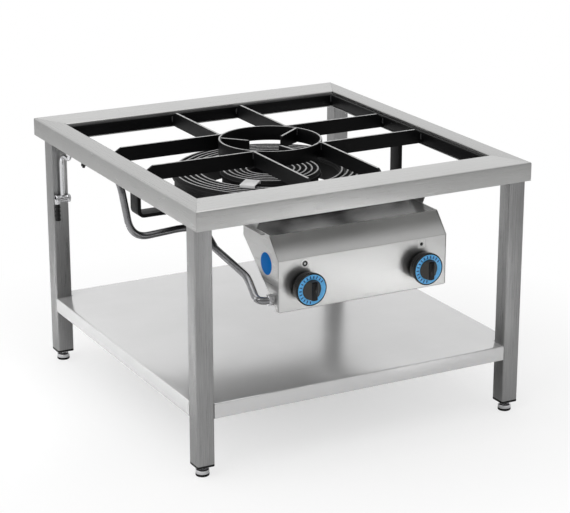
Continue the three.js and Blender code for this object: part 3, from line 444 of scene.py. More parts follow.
def brushed(name, colour, grain, roughness, contrast=0.05, bump=0.05, cloud=0.06, spread=0.05,
            stretch=0.5, wave=0.3, metallic=1.0):
    """Stainless sheet or tube after belt grinding: streaks along the grain, faint clouding by handling."""
    material, tree, where = new_material(name)
    along = add_node(tree, "ShaderNodeMapping", {
        "Vector": where,
        "Scale": [1.0 if axis == grain else STREAK_RATIO for axis in "XYZ"]}).outputs["Vector"]
    streak = add_node(tree, "ShaderNodeTexNoise", {
        "Vector": along, "Scale": repeats(STREAK_LENGTH), "Detail": 4.0, "Roughness": 0.65}).outputs["Fac"]
    clouds = add_node(tree, "ShaderNodeTexNoise", {
        "Vector": where, "Scale": repeats(HANDLING_CLOUD), "Detail": 3.0, "Roughness": 0.5}).outputs["Fac"]
    tone = add_node(tree, "ShaderNodeValToRGB", {"Fac": streak},
                    [(0.25, grey(1 - contrast)), (0.75, grey(1.0))]).outputs["Color"]
    haze = add_node(tree, "ShaderNodeValToRGB", {"Fac": clouds},
                    [(0.3, grey(1 - cloud)), (0.7, grey(1.0))]).outputs["Color"]
    tint = colour
    for layer in (tone, haze):
        tint = add_node(tree, "ShaderNodeMix", {0: 1.0, 6: tint, 7: layer},
                        data_type='RGBA', blend_type='MULTIPLY').outputs[2]
    rough = add_node(tree, "ShaderNodeMapRange", {
        "Value": streak, "From Min": 0.3, "From Max": 0.7,
        "To Min": roughness - spread, "To Max": roughness + spread}).outputs["Result"]
    waves = add_node(tree, "ShaderNodeTexNoise", {
        "Vector": where, "Scale": repeats(SHEET_WAVE), "Detail": 0.0}).outputs["Fac"]
    normal = add_node(tree, "ShaderNodeBump", {
        "Strength": wave, "Distance": 0.0012, "Height": waves}).outputs["Normal"]
    normal = add_node(tree, "ShaderNodeBump", {
        "Strength": bump, "Distance": 0.0004, "Height": streak, "Normal": normal}).outputs["Normal"]
    # The grooves spread reflections across the grain.
    facing = add_node(tree, "ShaderNodeNewGeometry").outputs["Normal"]
    line = [1.0 if axis == grain else 0.0 for axis in "XYZ"]
    across = add_node(tree, "ShaderNodeVectorMath", {0: facing, 1: line},
                      operation='CROSS_PRODUCT').outputs[0]
    end_material(tree, {"Base Color": tint, "Metallic": metallic, "Roughness": rough, "Normal": normal,
                        "Anisotropic": stretch, "Tangent": across})
    return material


def coated(name, colour, roughness, grain, bump, crest=None, wear_and_highlight_colour=None, wear_and_highlight=0.5, metallic=0.0,
           specular=0.3):
    """A dark coat with a grainy skin, lighter above a height in mm, or on upward faces for crest "top":
    partly wear, partly a painted highlight.
    """
    material, tree, where = new_material(name)
    skin = add_node(tree, "ShaderNodeTexNoise", {
        "Vector": where, "Scale": repeats(grain), "Detail": 5.0, "Roughness": 0.6}).outputs["Fac"]
    broad = add_node(tree, "ShaderNodeTexNoise", {
        "Vector": where, "Scale": repeats(COAT_CLOUD), "Detail": 2.0, "Roughness": 0.5}).outputs["Fac"]
    tone = add_node(tree, "ShaderNodeValToRGB", {"Fac": broad},
                    [(0.3, shade(colour, 0.75)), (0.7, shade(colour, 1.25))]).outputs["Color"]
    # The lighter crest is partly wear and partly a painted highlight.
    if crest is not None:
        if crest == "top":
            source = add_node(tree, "ShaderNodeTexCoord").outputs["Normal"]
            low, high = 0.9, 0.98
        else:
            source = where
            low, high = (crest - 0.45) * MM, (crest - 0.05) * MM
        height = add_node(tree, "ShaderNodeSeparateXYZ", {"Vector": source}).outputs["Z"]
        line = add_node(tree, "ShaderNodeMapRange", {
            "Value": height, "From Min": low, "From Max": high}).outputs["Result"]
        patchy = add_node(tree, "ShaderNodeValToRGB", {"Fac": skin},
                          [(0.35, grey(wear_and_highlight * 0.55)), (0.6, grey(wear_and_highlight))]).outputs["Color"]
        amount = add_node(tree, "ShaderNodeMath", {0: line, 1: patchy}, operation='MULTIPLY').outputs[0]
        tone = add_node(tree, "ShaderNodeMix", {0: amount, 6: tone, 7: wear_and_highlight_colour},
                        data_type='RGBA').outputs[2]
    rough = add_node(tree, "ShaderNodeMapRange", {
        "Value": skin, "To Min": roughness - 0.08, "To Max": roughness + 0.1}).outputs["Result"]
    normal = add_node(tree, "ShaderNodeBump", {
        "Strength": bump, "Distance": 0.0006, "Height": skin}).outputs["Normal"]
    end_material(tree, {"Base Color": tone, "Metallic": metallic, "Roughness": rough, "Normal": normal,
                        "Specular IOR Level": specular})
    return material


def smooth_finish(name, colour, roughness, metallic=0.0, grain=2.5, bump=0.02, spread=0.06, tone=0.06,
                  specular=0.5):
    """A moulded, plated or turned surface with only slight variation; grain is in millimetres."""
    material, tree, where = new_material(name)
    skin = add_node(tree, "ShaderNodeTexNoise", {
        "Vector": where, "Scale": repeats(grain), "Detail": 3.0, "Roughness": 0.55}).outputs["Fac"]
    tint = add_node(tree, "ShaderNodeValToRGB", {"Fac": skin},
                    [(0.3, shade(colour, 1 - tone)), (0.7, shade(colour, 1 + tone))]).outputs["Color"]
    rough = add_node(tree, "ShaderNodeMapRange", {
        "Value": skin, "To Min": roughness - spread, "To Max": roughness + spread}).outputs["Result"]
    normal = add_node(tree, "ShaderNodeBump", {
        "Strength": bump, "Distance": 0.0003, "Height": skin}).outputs["Normal"]
    end_material(tree, {"Base Color": tint, "Metallic": metallic, "Roughness": rough, "Normal": normal,
                        "Specular IOR Level": specular})
    return material


def make_materials(colours):
    """All finishes, named for what the real surfaces are; some carry painted light, as their comments say."""
    steel, leg, shelf, enamel, iron, dial, sticker = (
        tuple(colour) + (1.0,) for colour in (
            colours.sheet_steel, colours.leg_steel, colours.shelf_steel, colours.enamel,
            colours.cast_iron, colours.dial, colours.sticker))
    MATERIALS.update({
        # Ground 18/10 sheet: a soft grey sheen with streaks along each folded member. The copy ground along Y
        # is drawn a fifth darker, as painted shade.
        "sheet_x": brushed("Stainless sheet ground along X", steel, "X", 0.30, 0.09, wave=0.10),
        "sheet_y": brushed("Stainless sheet ground along Y", shade(steel, 0.80), "Y", 0.30, 0.09,
                           wave=0.12),
        # The control box is folded from cold-rolled sheet, which mirrors the knobs softly; it is drawn a
        # quarter lighter than the table's sheet, as painted light.
        "box": brushed("Stainless sheet cold-rolled for the box", shade(steel, 1.24), "X", 0.31, 0.02,
                       0.002, 0.04, 0.005, stretch=0.3),
        # Its top strip is drawn far darker: a painted reflection of the dark burner and grate over it.
        "box_top_painted_dark": brushed("Stainless sheet painted dark as a reflection", shade(steel, 0.25), "X", 0.24, 0.03,
                           0.03, 0.04, 0.03),
        # Welded square tube, ground along its length: darker and more streaked than the sheet.
        "leg": brushed("Stainless square tube ground along Z", leg, "Z", 0.30, 0.34, 0.10, 0.10,
                       stretch=0.7),
        # Bright-rolled shelf sheet under a thin matt film of grease: pale, and mirrors what is over it.
        "shelf": brushed("Stainless sheet bright-rolled for the shelf", shelf, "X", 0.19, 0.03, 0.005,
                         0.05, 0.02, stretch=0.2, metallic=0.6),
        # Black vitreous enamel on flat bar, grey on its upward faces: partly rubbed by pots, partly a painted
        # highlight.
        "enamel": coated("Black vitreous enamel on flat bar", enamel, 0.42, ENAMEL_GRAIN, 0.10,
                         "top", linear("D0D0D0"), 0.9, specular=0.14),
        "enamel_plain": coated("Black vitreous enamel on strap", enamel, 0.42, ENAMEL_GRAIN, 0.10,
                               specular=0.14),
        # Blacked grey cast iron: coarse sand-cast skin; the ridge crests are lighter, partly rubbed bright,
        # partly a painted highlight.
        "iron": coated("Blacked sand-cast iron", iron, 0.55, CAST_GRAIN, 0.35,
                       CAP_TOP, linear("D8D8D8"), 0.9, 0.2),
        "iron_plain": coated("Blacked sand-cast iron underneath", iron, 0.6, CAST_GRAIN, 0.4,
                             metallic=0.2),
        # Moulded phenolic: near black with a dull polish; the grip's flanks are drawn lighter, a painted
        # sheen.
        "phenolic": smooth_finish("Black moulded phenolic", linear("070708"), 0.16, specular=0.32),
        "phenolic_painted_sheen": smooth_finish("Black moulded phenolic, painted lighter", linear("3B3936"),
                                       0.45, specular=0.4),
        # Moulded nylon and rubber: black and dull, with no polish.
        "nylon": smooth_finish("Black moulded nylon", linear("0D0D0E"), 0.5, specular=0.3),
        "rubber": smooth_finish("Black moulded rubber", linear("0C0C0D"), 0.7, specular=0.3),
        # Moulded ABS: an even pale blue with a soft gloss, printed in a dark blue.
        "dial": smooth_finish("Pale blue moulded ABS", dial, 0.32, 0.0, 3.333, 0.01, 0.04, 0.03),
        "dial_mark": smooth_finish("Dark blue pad-printed ink", linear("123A7A"), 0.45),
        # Coated paper: flat colours with hardly any gloss.
        "sticker": smooth_finish("Blue coated paper label", sticker, 0.6, 0.0, 1.111, 0.02, 0.04, 0.05,
                                 0.08),
        "label": smooth_finish("White coated paper label", linear("F4F4F2"), 0.45),
        "ink": smooth_finish("Black printed ink", linear("0C0C0D"), 0.5),
        # Turned brass, dulled in use, and plated or drawn steel, which stay bright.
        "brass": smooth_finish("Turned brass, lightly dulled", linear("B4914C"), 0.28, 1.0, 4.0, 0.03),
        "plate": smooth_finish("Bright zinc plate", linear("D6D6D8"), 0.2, 1.0, 5.0, 0.03, 0.07, 0.08),
        # Satin nickel plate, drawn as an even near-white matt: a painted reflection of the white around it.
        "satin_plate": smooth_finish("Satin nickel plate", linear("FAFAFA"), 0.5, 0.0, 6.667, 0.01,
                                     0.03, 0.02),
        "pipe": smooth_finish("Drawn steel tube", linear("8C8C8E"), 0.22, 1.0, 8.333, 0.03, 0.06, 0.10),
        # Rippled weld metal with the enamel burnt thin over it.
        "weld": smooth_finish("Weld bead under enamel", linear("3C3C3E"), 0.3, 0.3, 1.429, 0.2, 0.08,
                              0.15),
    })


def evaluated(name, tree, values):
    """Runs a geometry tree on an empty mesh object and keeps its result as a plain mesh."""
    obj = bpy.data.objects.new(name, bpy.data.meshes.new(name))
    bpy.context.scene.collection.objects.link(obj)
    modifier = obj.modifiers.new("Rule", 'NODES')
    modifier.node_group = tree
    for item in tree.interface.items_tree:
        if item.item_type == 'SOCKET' and item.in_out == 'INPUT' and item.name in values:
            modifier[item.identifier] = values[item.name]
    graph = bpy.context.evaluated_depsgraph_get()
    mesh = bpy.data.meshes.new_from_object(obj.evaluated_get(graph))
    obj.modifiers.remove(modifier)
    if not mesh.polygons:
        raise RuntimeError(f"{name}: the geometry tree gave no faces")
    mesh.name = name
    obj.data = mesh
    return obj


def new_tree(name, inputs):
    """An empty geometry tree with named inputs (name, socket type, default)."""
    tree = bpy.data.node_groups.new(name, 'GeometryNodeTree')
    tree.interface.new_socket("Geometry", in_out='OUTPUT', socket_type='NodeSocketGeometry')
    for label, kind, default in inputs:
        socket = tree.interface.new_socket(label, in_out='INPUT', socket_type=kind)
        if default is not None:
            socket.default_value = default
    entry = add_node(tree, "NodeGroupInput")
    return tree, entry.outputs


def finish_tree(tree, geometry, material, smooth=True):
    """Ends a tree in Realize Instances and Set Material."""
    real = add_node(tree, "GeometryNodeRealizeInstances", {"Geometry": geometry}).outputs["Geometry"]
    if smooth:
        real = add_node(tree, "GeometryNodeSetShadeSmooth", {"Geometry": real}).outputs["Geometry"]
    done = add_node(tree, "GeometryNodeSetMaterial", {
        "Geometry": real, "Material": material}).outputs["Geometry"]
    add_node(tree, "NodeGroupOutput", {"Geometry": done})
    return tree


# ------------------------------------------------------------------ settings
class RangeSizes(PropertyGroup):
    """Sizes that a user would change."""
    fold: FloatProperty(name="Fold radius", description="Outside radius of the table's folded edges",
                        default=3.0 * MM, unit='LENGTH')
    bar_edge: FloatProperty(name="Bar edge", description="Rounding of the grate bars' edges",
                            default=0.9 * MM, unit='LENGTH')
    ridge_count: IntProperty(name="Ridges", description="Concentric ridges on each burner cap", default=5)
    ridge_pitch: FloatProperty(name="Ridge pitch", description="Distance between two ridges",
                               default=10.0 * MM, unit='LENGTH')
    bead_pitch: FloatProperty(name="Bead pitch", description="Distance between two weld beads",
                              default=2.2 * MM, unit='LENGTH')
    thread_pitch: FloatProperty(name="Thread pitch", description="Pitch of the feet's threads",
                                default=1.25 * MM, unit='LENGTH')


class RangeColours(PropertyGroup):
    """Colours that a user would change."""
    sheet_steel: FloatVectorProperty(name="Sheet steel", description="Table top and control box",
                                     subtype='COLOR', default=linear("C9C9C8")[:3])
    leg_steel: FloatVectorProperty(name="Leg steel", description="Square-tube legs",
                                   subtype='COLOR', default=linear("A9A9A9")[:3])
    shelf_steel: FloatVectorProperty(name="Shelf steel", description="Shelf",
                                     subtype='COLOR', default=linear("DFDFDF")[:3])
    enamel: FloatVectorProperty(name="Enamel", description="Grate and burner strap",
                                subtype='COLOR', default=linear("0A0A0B")[:3])
    cast_iron: FloatVectorProperty(name="Cast iron", description="Burner castings",
                                   subtype='COLOR', default=linear("0C0C0D")[:3])
    dial: FloatVectorProperty(name="Dial", description="Rings on the knobs",
                              subtype='COLOR', default=linear("62BDF8")[:3])
    sticker: FloatVectorProperty(name="Sticker", description="Round sticker on the box's side",
                                 subtype='COLOR', default=linear("006ABA")[:3])


# ------------------------------------------------------------------ table
MITRE_GAP = 0.15


def member(name, border, across, fold):
    """One folded and mitred member of the table top; across gives (x, y) from run end and inset."""
    burr = 0.4
    lip = border + LEDGE_REACH
    section = fillet([
        (0, FASCIA_BOTTOM, burr), (0, TABLE_TOP, fold), (border, TABLE_TOP, 2.2),
        (border, LEDGE_TOP, 1.0), (lip, LEDGE_TOP, burr), (lip, LEDGE_BOTTOM, burr),
        (border - SHEET, LEDGE_BOTTOM, 2.0), (border - SHEET, TABLE_TOP - SHEET, 0.7),
        (SHEET, TABLE_TOP - SHEET, fold - SHEET), (SHEET, FASCIA_BOTTOM, burr)], 6)
    return piece(name, loft([[(*across(end, u), z) for u, z in section] for end in (-1, 1)]), 40)


class RANGE_OT_table_top(Operator):
    """Four folded and mitred sheet members round the opening"""
    bl_idname = "stove.table_top"
    bl_label = "Table top"

    def execute(self, context):
        fold = context.scene.range_sizes.fold / MM
        ratio = SIDE_BORDER / END_BORDER
        half_depth = (TABLE_BACK - TABLE_FRONT) / 2
        for end, edge, way in (("front", TABLE_FRONT, 1), ("back", TABLE_BACK, -1)):
            def across(run, inset, edge=edge, way=way):
                return run * (HALF_WIDTH - MITRE_GAP - inset * ratio), edge + way * inset
            dress(member(f"member_{end}", END_BORDER, across, fold), "table", "table_steel", "sheet_x",
                  f"frame_{end}")
        for side, way in (("left", -1), ("right", 1)):
            def across(run, inset, way=way):
                return (way * (HALF_WIDTH - inset),
                        TABLE_MIDDLE + run * (half_depth - MITRE_GAP - inset / ratio))
            dress(member(f"member_{side}", SIDE_BORDER, across, fold), "table", "table_steel", "sheet_y",
                  f"frame_{side}")
        return {'FINISHED'}


def rounded_square(size, corner):
    """A square outline about the origin with rounded corners."""
    h = size / 2
    return fillet([(-h, -h, corner), (h, -h, corner), (h, h, corner), (-h, h, corner)], 5)


class RANGE_OT_legs(Operator):
    """Square-tube legs with their plastic end caps"""
    bl_idname = "stove.legs"
    bl_label = "Legs and end caps"

    def execute(self, context):
        low, high = extent("leg_front_left")
        outer = rounded_square(LEG_SIZE, 3)
        inner = rounded_square(LEG_SIZE - 2 * SHEET, 1.5)
        for place, x, y in PLACES:
            rings = []
            for outline, heights in ((outer, (low.z, high.z)), (inner, (high.z, low.z))):
                for z in heights:
                    rings.append([(x + p.x, y + p.y, z) for p in outline])
            tube = piece(f"leg_tube_{place}", loft(rings, caps=False, closed=True))
            dress(tube, "table", "leg_steel", "leg", f"leg_{place}")
            cap = refined(f"leg_end_cap_{place}", f"leg_cap_{place}", 0.6, 2)
            dress(cap, "table", "black_plastic", "nylon", f"leg_cap_{place}")
        return {'FINISHED'}


class RANGE_OT_feet(Operator):
    """Levelling feet: rubber sole, plated pad, lock nut and threaded rod"""
    bl_idname = "stove.feet"
    bl_label = "Feet"

    def execute(self, context):
        pitch = context.scene.range_sizes.thread_pitch / MM
        top = extent("foot_front_left")[1].z
        rod_bottom, root, crest = 9.0, 3.45, 3.95
        pad = fillet([(0, 3.6), (10.2, 3.6, 0.3), (10.8, 4.2, 0.5), (10.8, 10.2, 0.8), (8.0, 11.4, 0.5),
                      (0, 11.4)], 4, closed=False)
        sole = fillet([(0, 0), (10.3, 0, 0.6), (11.0, 0.8, 0.6), (11.0, 3.6, 0.6), (10.4, 4.0, 0.3),
                       (0, 4.0)], 3, closed=False)
        thread = [(0, rod_bottom)]
        z = rod_bottom
        while z + pitch < top - 0.6:
            thread += [(root, z + pitch * 0.05), (crest, z + pitch * 0.42), (crest, z + pitch * 0.58)]
            z += pitch
        thread += [(3.3, top), (0, top)]
        for place, x, y in PLACES:
            bm = lathe(thread, 20, (x, y, 0))
            join(bm, lathe(pad, 36, (x, y, 0)))
            join(bm, hexagon(7.5, 11.7, 16.7, (x, y), chamfer=0.9))
            dress(piece(f"foot_screw_{place}", bm), f"foot_{place}", "bright_plate", "plate",
                  f"foot_{place}")
            rubber = piece(f"foot_sole_{place}", lathe(sole, 36, (x, y, 0)))
            dress(rubber, f"foot_{place}", "black_plastic", "rubber")
        return {'FINISHED'}


class RANGE_OT_shelf(Operator):
    """Shelf tray notched round the legs, with its stiffening channel"""
    bl_idname = "stove.shelf"
    bl_label = "Shelf"

    def execute(self, context):
        x1, y0, y1 = SHELF_HIGH.x, SHELF_LOW.y, SHELF_HIGH.y
        notch = LEG_SIZE / 2 + SEAT_GAP
        front, back = LEG_YS["front"] + notch, LEG_YS["back"] - notch
        side = LEG_X - notch
        outline = [(-side, y0), (side, y0), (side, front), (x1, front), (x1, back), (side, back),
                   (side, y1), (-side, y1), (-side, back), (-x1, back), (-x1, front), (-side, front)]
        # Each (inset, height) point of the fold is one ring, from the underside out and over the top.
        top, low, radius, burr = SHELF_HIGH.z, SHELF_LOW.z, 2.0, 0.3
        fold = [(SHEET + 0.8, top - SHEET), (SHEET, top - SHEET - 0.8), (SHEET, low + 0.2),
                (SHEET - burr, low), (burr, low), (0, low + burr)]
        fold += [(radius - radius * math.cos(a), top - radius + radius * math.sin(a))
                 for a in (math.pi / 2 * k / 5 for k in range(6))]
        rings = [[(*p, z) for p in offset_outline(outline, inset)] for inset, z in fold]
        dress(piece("shelf_tray", loft(rings), 40), "table", "shelf_steel", "shelf", "shelf")
        channel = refined("shelf_channel", "shelf_stiffener", 0.5, 2)
        dress(channel, "table", "shelf_steel", "shelf", "shelf_stiffener")
        return {'FINISHED'}


# ------------------------------------------------------------------ grate
def weld_tree():
    """Overlapping beads along the points of a seam: flattened lumps, turned and sized at random."""
    tree, given = new_tree("Weld beads", [
        ("Seams", 'NodeSocketObject', None), ("Bead size", 'NodeSocketFloat', 1.6 * MM),
        ("Bead pitch", 'NodeSocketFloat', 2.2 * MM), ("Seed", 'NodeSocketInt', 7)])
    seams = add_node(tree, "GeometryNodeObjectInfo", {"Object": given["Seams"]}).outputs["Geometry"]
    curves = add_node(tree, "GeometryNodeMeshToCurve", {"Mesh": seams}).outputs["Curve"]
    points = add_node(tree, "GeometryNodeCurveToPoints", {"Curve": curves, "Length": given["Bead pitch"]},
                      mode='LENGTH').outputs["Points"]
    bead = add_node(tree, "GeometryNodeMeshIcoSphere", {
        "Radius": given["Bead size"], "Subdivisions": 2}).outputs["Mesh"]
    turn = add_node(tree, "FunctionNodeRandomValue", {
        "Min": (0.0, 0.0, 0.0), "Max": (6.28, 6.28, 6.28), "Seed": given["Seed"]}, data_type='FLOAT_VECTOR')
    size = add_node(tree, "FunctionNodeRandomValue", {
        "Min": (0.75, 0.75, 0.6), "Max": (1.15, 1.15, 0.95), "Seed": given["Seed"]}, data_type='FLOAT_VECTOR')
    beads = add_node(tree, "GeometryNodeInstanceOnPoints", {
        "Points": points, "Instance": bead, "Rotation": turn.outputs[0],
        "Scale": size.outputs[0]}).outputs["Instances"]
    return finish_tree(tree, beads, MATERIALS["weld"])


def bar_outline(start, stop):
    """Side view of a grate bar from its inner to its outer end, where the top corner is cut off."""
    drop, run = 8.0, 12.0 if stop > start else -12.0
    return fillet([(start, GRATE_BOTTOM), (stop, GRATE_BOTTOM), (stop, TABLE_TOP - drop),
                   (stop - run, TABLE_TOP, 1.5), (start, TABLE_TOP)], 3)


class RANGE_OT_grate(Operator):
    """Lift-off grate of flat bars on edge, welded together"""
    bl_idname = "stove.grate"
    bl_label = "Grate"

    def execute(self, context):
        sizes = context.scene.range_sizes
        edge = sizes.bar_edge / MM
        half = BAR_THICKNESS / 2

        def flat_bar(outline, axis, middle):
            return soften(extrude(outline, axis, middle - half, middle + half, 0), edge, 2)

        def enamelled(name, bm, node, finish="enamel"):
            dress(piece(name, bm), "grate", "grate_enamel", finish, node)

        for side in ("left", "right", "front", "back"):
            low, high = extent(f"grate_rim_{side}")
            enamelled(f"rim_bar_{side}", block(low, high, edge), f"grate_rim_{side}", "enamel_plain")
        reach = OPENING_X - RIM_CLEARANCE - BAR_THICKNESS - SEAT_GAP
        for row, sy in (("front", -1), ("back", 1)):
            for end, sx in (("left", -1), ("right", 1)):
                node = f"grate_bar_x_{row}_{end}"
                low, high = extent(node)
                outline = bar_outline(low.x if sx > 0 else high.x, sx * reach)
                bm = flat_bar(outline, "Y", BURNER.y + sy * BAR_SPACING)
                enamelled(f"cross_bar_{row}_{end}", bm, node)
                node = f"grate_bar_y_{row}_{end}"
                low, high = extent(node)
                outline = bar_outline(low.y, high.y) if sy > 0 else bar_outline(high.y, low.y)
                enamelled(f"long_bar_{row}_{end}", flat_bar(outline, "X", sx * BAR_SPACING), node)
        section = fillet([(POT_RING_INNER, GRATE_BOTTOM, edge), (POT_RING_OUTER, GRATE_BOTTOM, edge),
                          (POT_RING_OUTER, TABLE_TOP, edge), (POT_RING_INNER, TABLE_TOP, edge)], 3)
        enamelled("pot_ring", lathe(section, 96, BURNER, closed=True), "grate_ring")
        prong = fillet([(PRONG_TIP, GRATE_BOTTOM), (PRONG_ROOT, GRATE_BOTTOM), (PRONG_ROOT, TABLE_TOP),
                        (PRONG_TIP, TABLE_TOP - 4, 2.5)], 3)
        for i, angle in enumerate(PRONG_ANGLES, 1):
            bm = flat_bar(prong, "Y", 0)
            bm.transform(Matrix.Translation(BURNER) @ Matrix.Rotation(math.radians(angle), 4, 'Z'))
            enamelled(f"pot_prong_{i}", bm, f"grate_prong_{i}")
        self.weld(sizes.bead_pitch)
        return {'FINISHED'}

    def weld(self, pitch):
        """Bead seams in the corners where bars meet each other, the ring and the rim."""
        low, high = TABLE_TOP - 11, TABLE_TOP - 3
        rim_low, rim_high = low - 6, low + 1
        corner_low, corner_high = GRATE_BOTTOM + 8, GRATE_BOTTOM + 18
        beside = BAR_THICKNESS / 2 + 0.2
        rim_face = RIM_CLEARANCE + BAR_THICKNESS
        seams = []

        def seam(x, y, bottom, top):
            seams.append(((x, y, bottom), (x, y, top)))

        for sx in (-1, 1):
            for sy in (-1, 1):
                cx, cy = sx * BAR_SPACING, BURNER.y + sy * BAR_SPACING
                end_y = OPENING_FRONT if sy < 0 else OPENING_BACK
                for dx, dy in ((1, 1), (1, -1), (-1, 1), (-1, -1)):
                    if (dx, dy) != (-sx, -sy):
                        seam(cx + dx * beside, cy + dy * beside, low, high)
                for d in (-1, 1):
                    seam(sx * (OPENING_X - rim_face - 0.4), cy + d * beside, rim_low, rim_high)
                    seam(cx + d * beside, end_y - sy * (rim_face + 0.4), rim_low, rim_high)
                seam(sx * (OPENING_X - rim_face - 0.3), end_y - sy * (rim_face + 0.3),
                     corner_low, corner_high)
        for angle in PRONG_ANGLES:
            c, s = math.cos(math.radians(angle)), math.sin(math.radians(angle))
            for d in (-1, 1):
                root, aside = PRONG_ROOT - 0.1, d * (beside + 0.1)
                seam(BURNER.x + root * c - aside * s, BURNER.y + root * s + aside * c, low, high)
        mesh = bpy.data.meshes.new("seams")
        points = [Vector(p) * MM for ends in seams for p in ends]
        mesh.from_pydata(points, [(i, i + 1) for i in range(0, len(points), 2)], [])
        guide = bpy.data.objects.new("seams", mesh)
        bpy.context.scene.collection.objects.link(guide)
        beads = evaluated("weld_beads", weld_tree(), {"Seams": guide, "Bead pitch": pitch})
        bpy.data.objects.remove(guide)
        dress(beads, "grate", "grate_enamel", "weld")


# ------------------------------------------------------------------ burner
def ridge_tree():
    """A ring plate with evenly spaced concentric ridges, each a swept half-round."""
    tree, given = new_tree("Ridged burner cap", [
        ("Outer radius", 'NodeSocketFloat', 0.167), ("Base", 'NodeSocketFloat', 0.3726),
        ("Ridge pitch", 'NodeSocketFloat', 0.010), ("Ridges", 'NodeSocketInt', 5),
        ("Segments", 'NodeSocketInt', 96), ("Centre", 'NodeSocketVector', (0.0, 0.01265, 0.0)),
        ("Section", 'NodeSocketObject', None), ("Edge", 'NodeSocketObject', None)])
    # One point per ridge, all of them at the centre: its unit circle takes the ridge's radius as scale.
    line = add_node(tree, "GeometryNodeMeshLine", {
        "Count": given["Ridges"], "Start Location": (0, 0, 0), "Offset": (0, 0, 0)}).outputs["Mesh"]
    index = add_node(tree, "GeometryNodeInputIndex").outputs["Index"]
    steps = add_node(tree, "ShaderNodeMath", {0: index, 1: 0.5}, operation='ADD').outputs[0]
    inset = add_node(tree, "ShaderNodeMath", {0: steps, 1: given["Ridge pitch"]},
                     operation='MULTIPLY').outputs[0]
    radius = add_node(tree, "ShaderNodeMath", {0: given["Outer radius"], 1: inset},
                      operation='SUBTRACT').outputs[0]
    ring = add_node(tree, "GeometryNodeCurvePrimitiveCircle", {
        "Resolution": given["Segments"], "Radius": 1.0}).outputs["Curve"]
    rings = add_node(tree, "GeometryNodeInstanceOnPoints", {
        "Points": line, "Instance": ring, "Scale": radius}).outputs["Instances"]
    real = add_node(tree, "GeometryNodeRealizeInstances", {"Geometry": rings}).outputs["Geometry"]
    even = add_node(tree, "GeometryNodeSetCurveRadius", {"Curve": real, "Radius": 1.0}).outputs["Curve"]
    crest = add_node(tree, "GeometryNodeObjectInfo", {"Object": given["Section"]}).outputs["Geometry"]
    crest = add_node(tree, "GeometryNodeMeshToCurve", {"Mesh": crest}).outputs["Curve"]
    ridges = add_node(tree, "GeometryNodeCurveToMesh", {
        "Curve": even, "Profile Curve": crest}).outputs["Mesh"]
    rim = add_node(tree, "GeometryNodeCurvePrimitiveCircle", {
        "Resolution": given["Segments"], "Radius": given["Outer radius"]}).outputs["Curve"]
    edge = add_node(tree, "GeometryNodeObjectInfo", {"Object": given["Edge"]}).outputs["Geometry"]
    edge = add_node(tree, "GeometryNodeMeshToCurve", {"Mesh": edge}).outputs["Curve"]
    plate = add_node(tree, "GeometryNodeCurveToMesh", {"Curve": rim, "Profile Curve": edge}).outputs["Mesh"]
    both = add_node(tree, "GeometryNodeJoinGeometry")
    tree.links.new(ridges, both.inputs[0])
    tree.links.new(plate, both.inputs[0])
    lift = add_node(tree, "ShaderNodeCombineXYZ", {"Z": given["Base"]}).outputs["Vector"]
    place = add_node(tree, "ShaderNodeVectorMath", {0: given["Centre"], 1: lift},
                     operation='ADD').outputs[0]
    moved = add_node(tree, "GeometryNodeTransform", {
        "Geometry": both.outputs[0], "Translation": place}).outputs["Geometry"]
    return finish_tree(tree, moved, MATERIALS["iron"])


def loop_object(name, points):
    """A closed outline as an edge mesh, for a tree that sweeps it; a swept section's Y points down."""
    mesh = bpy.data.meshes.new(name)
    count = len(points)
    mesh.from_pydata([(p[0] * MM, -p[1] * MM, 0) for p in points],
                     [(i, (i + 1) % count) for i in range(count)], [])
    obj = bpy.data.objects.new(name, mesh)
    bpy.context.scene.collection.objects.link(obj)
    return obj


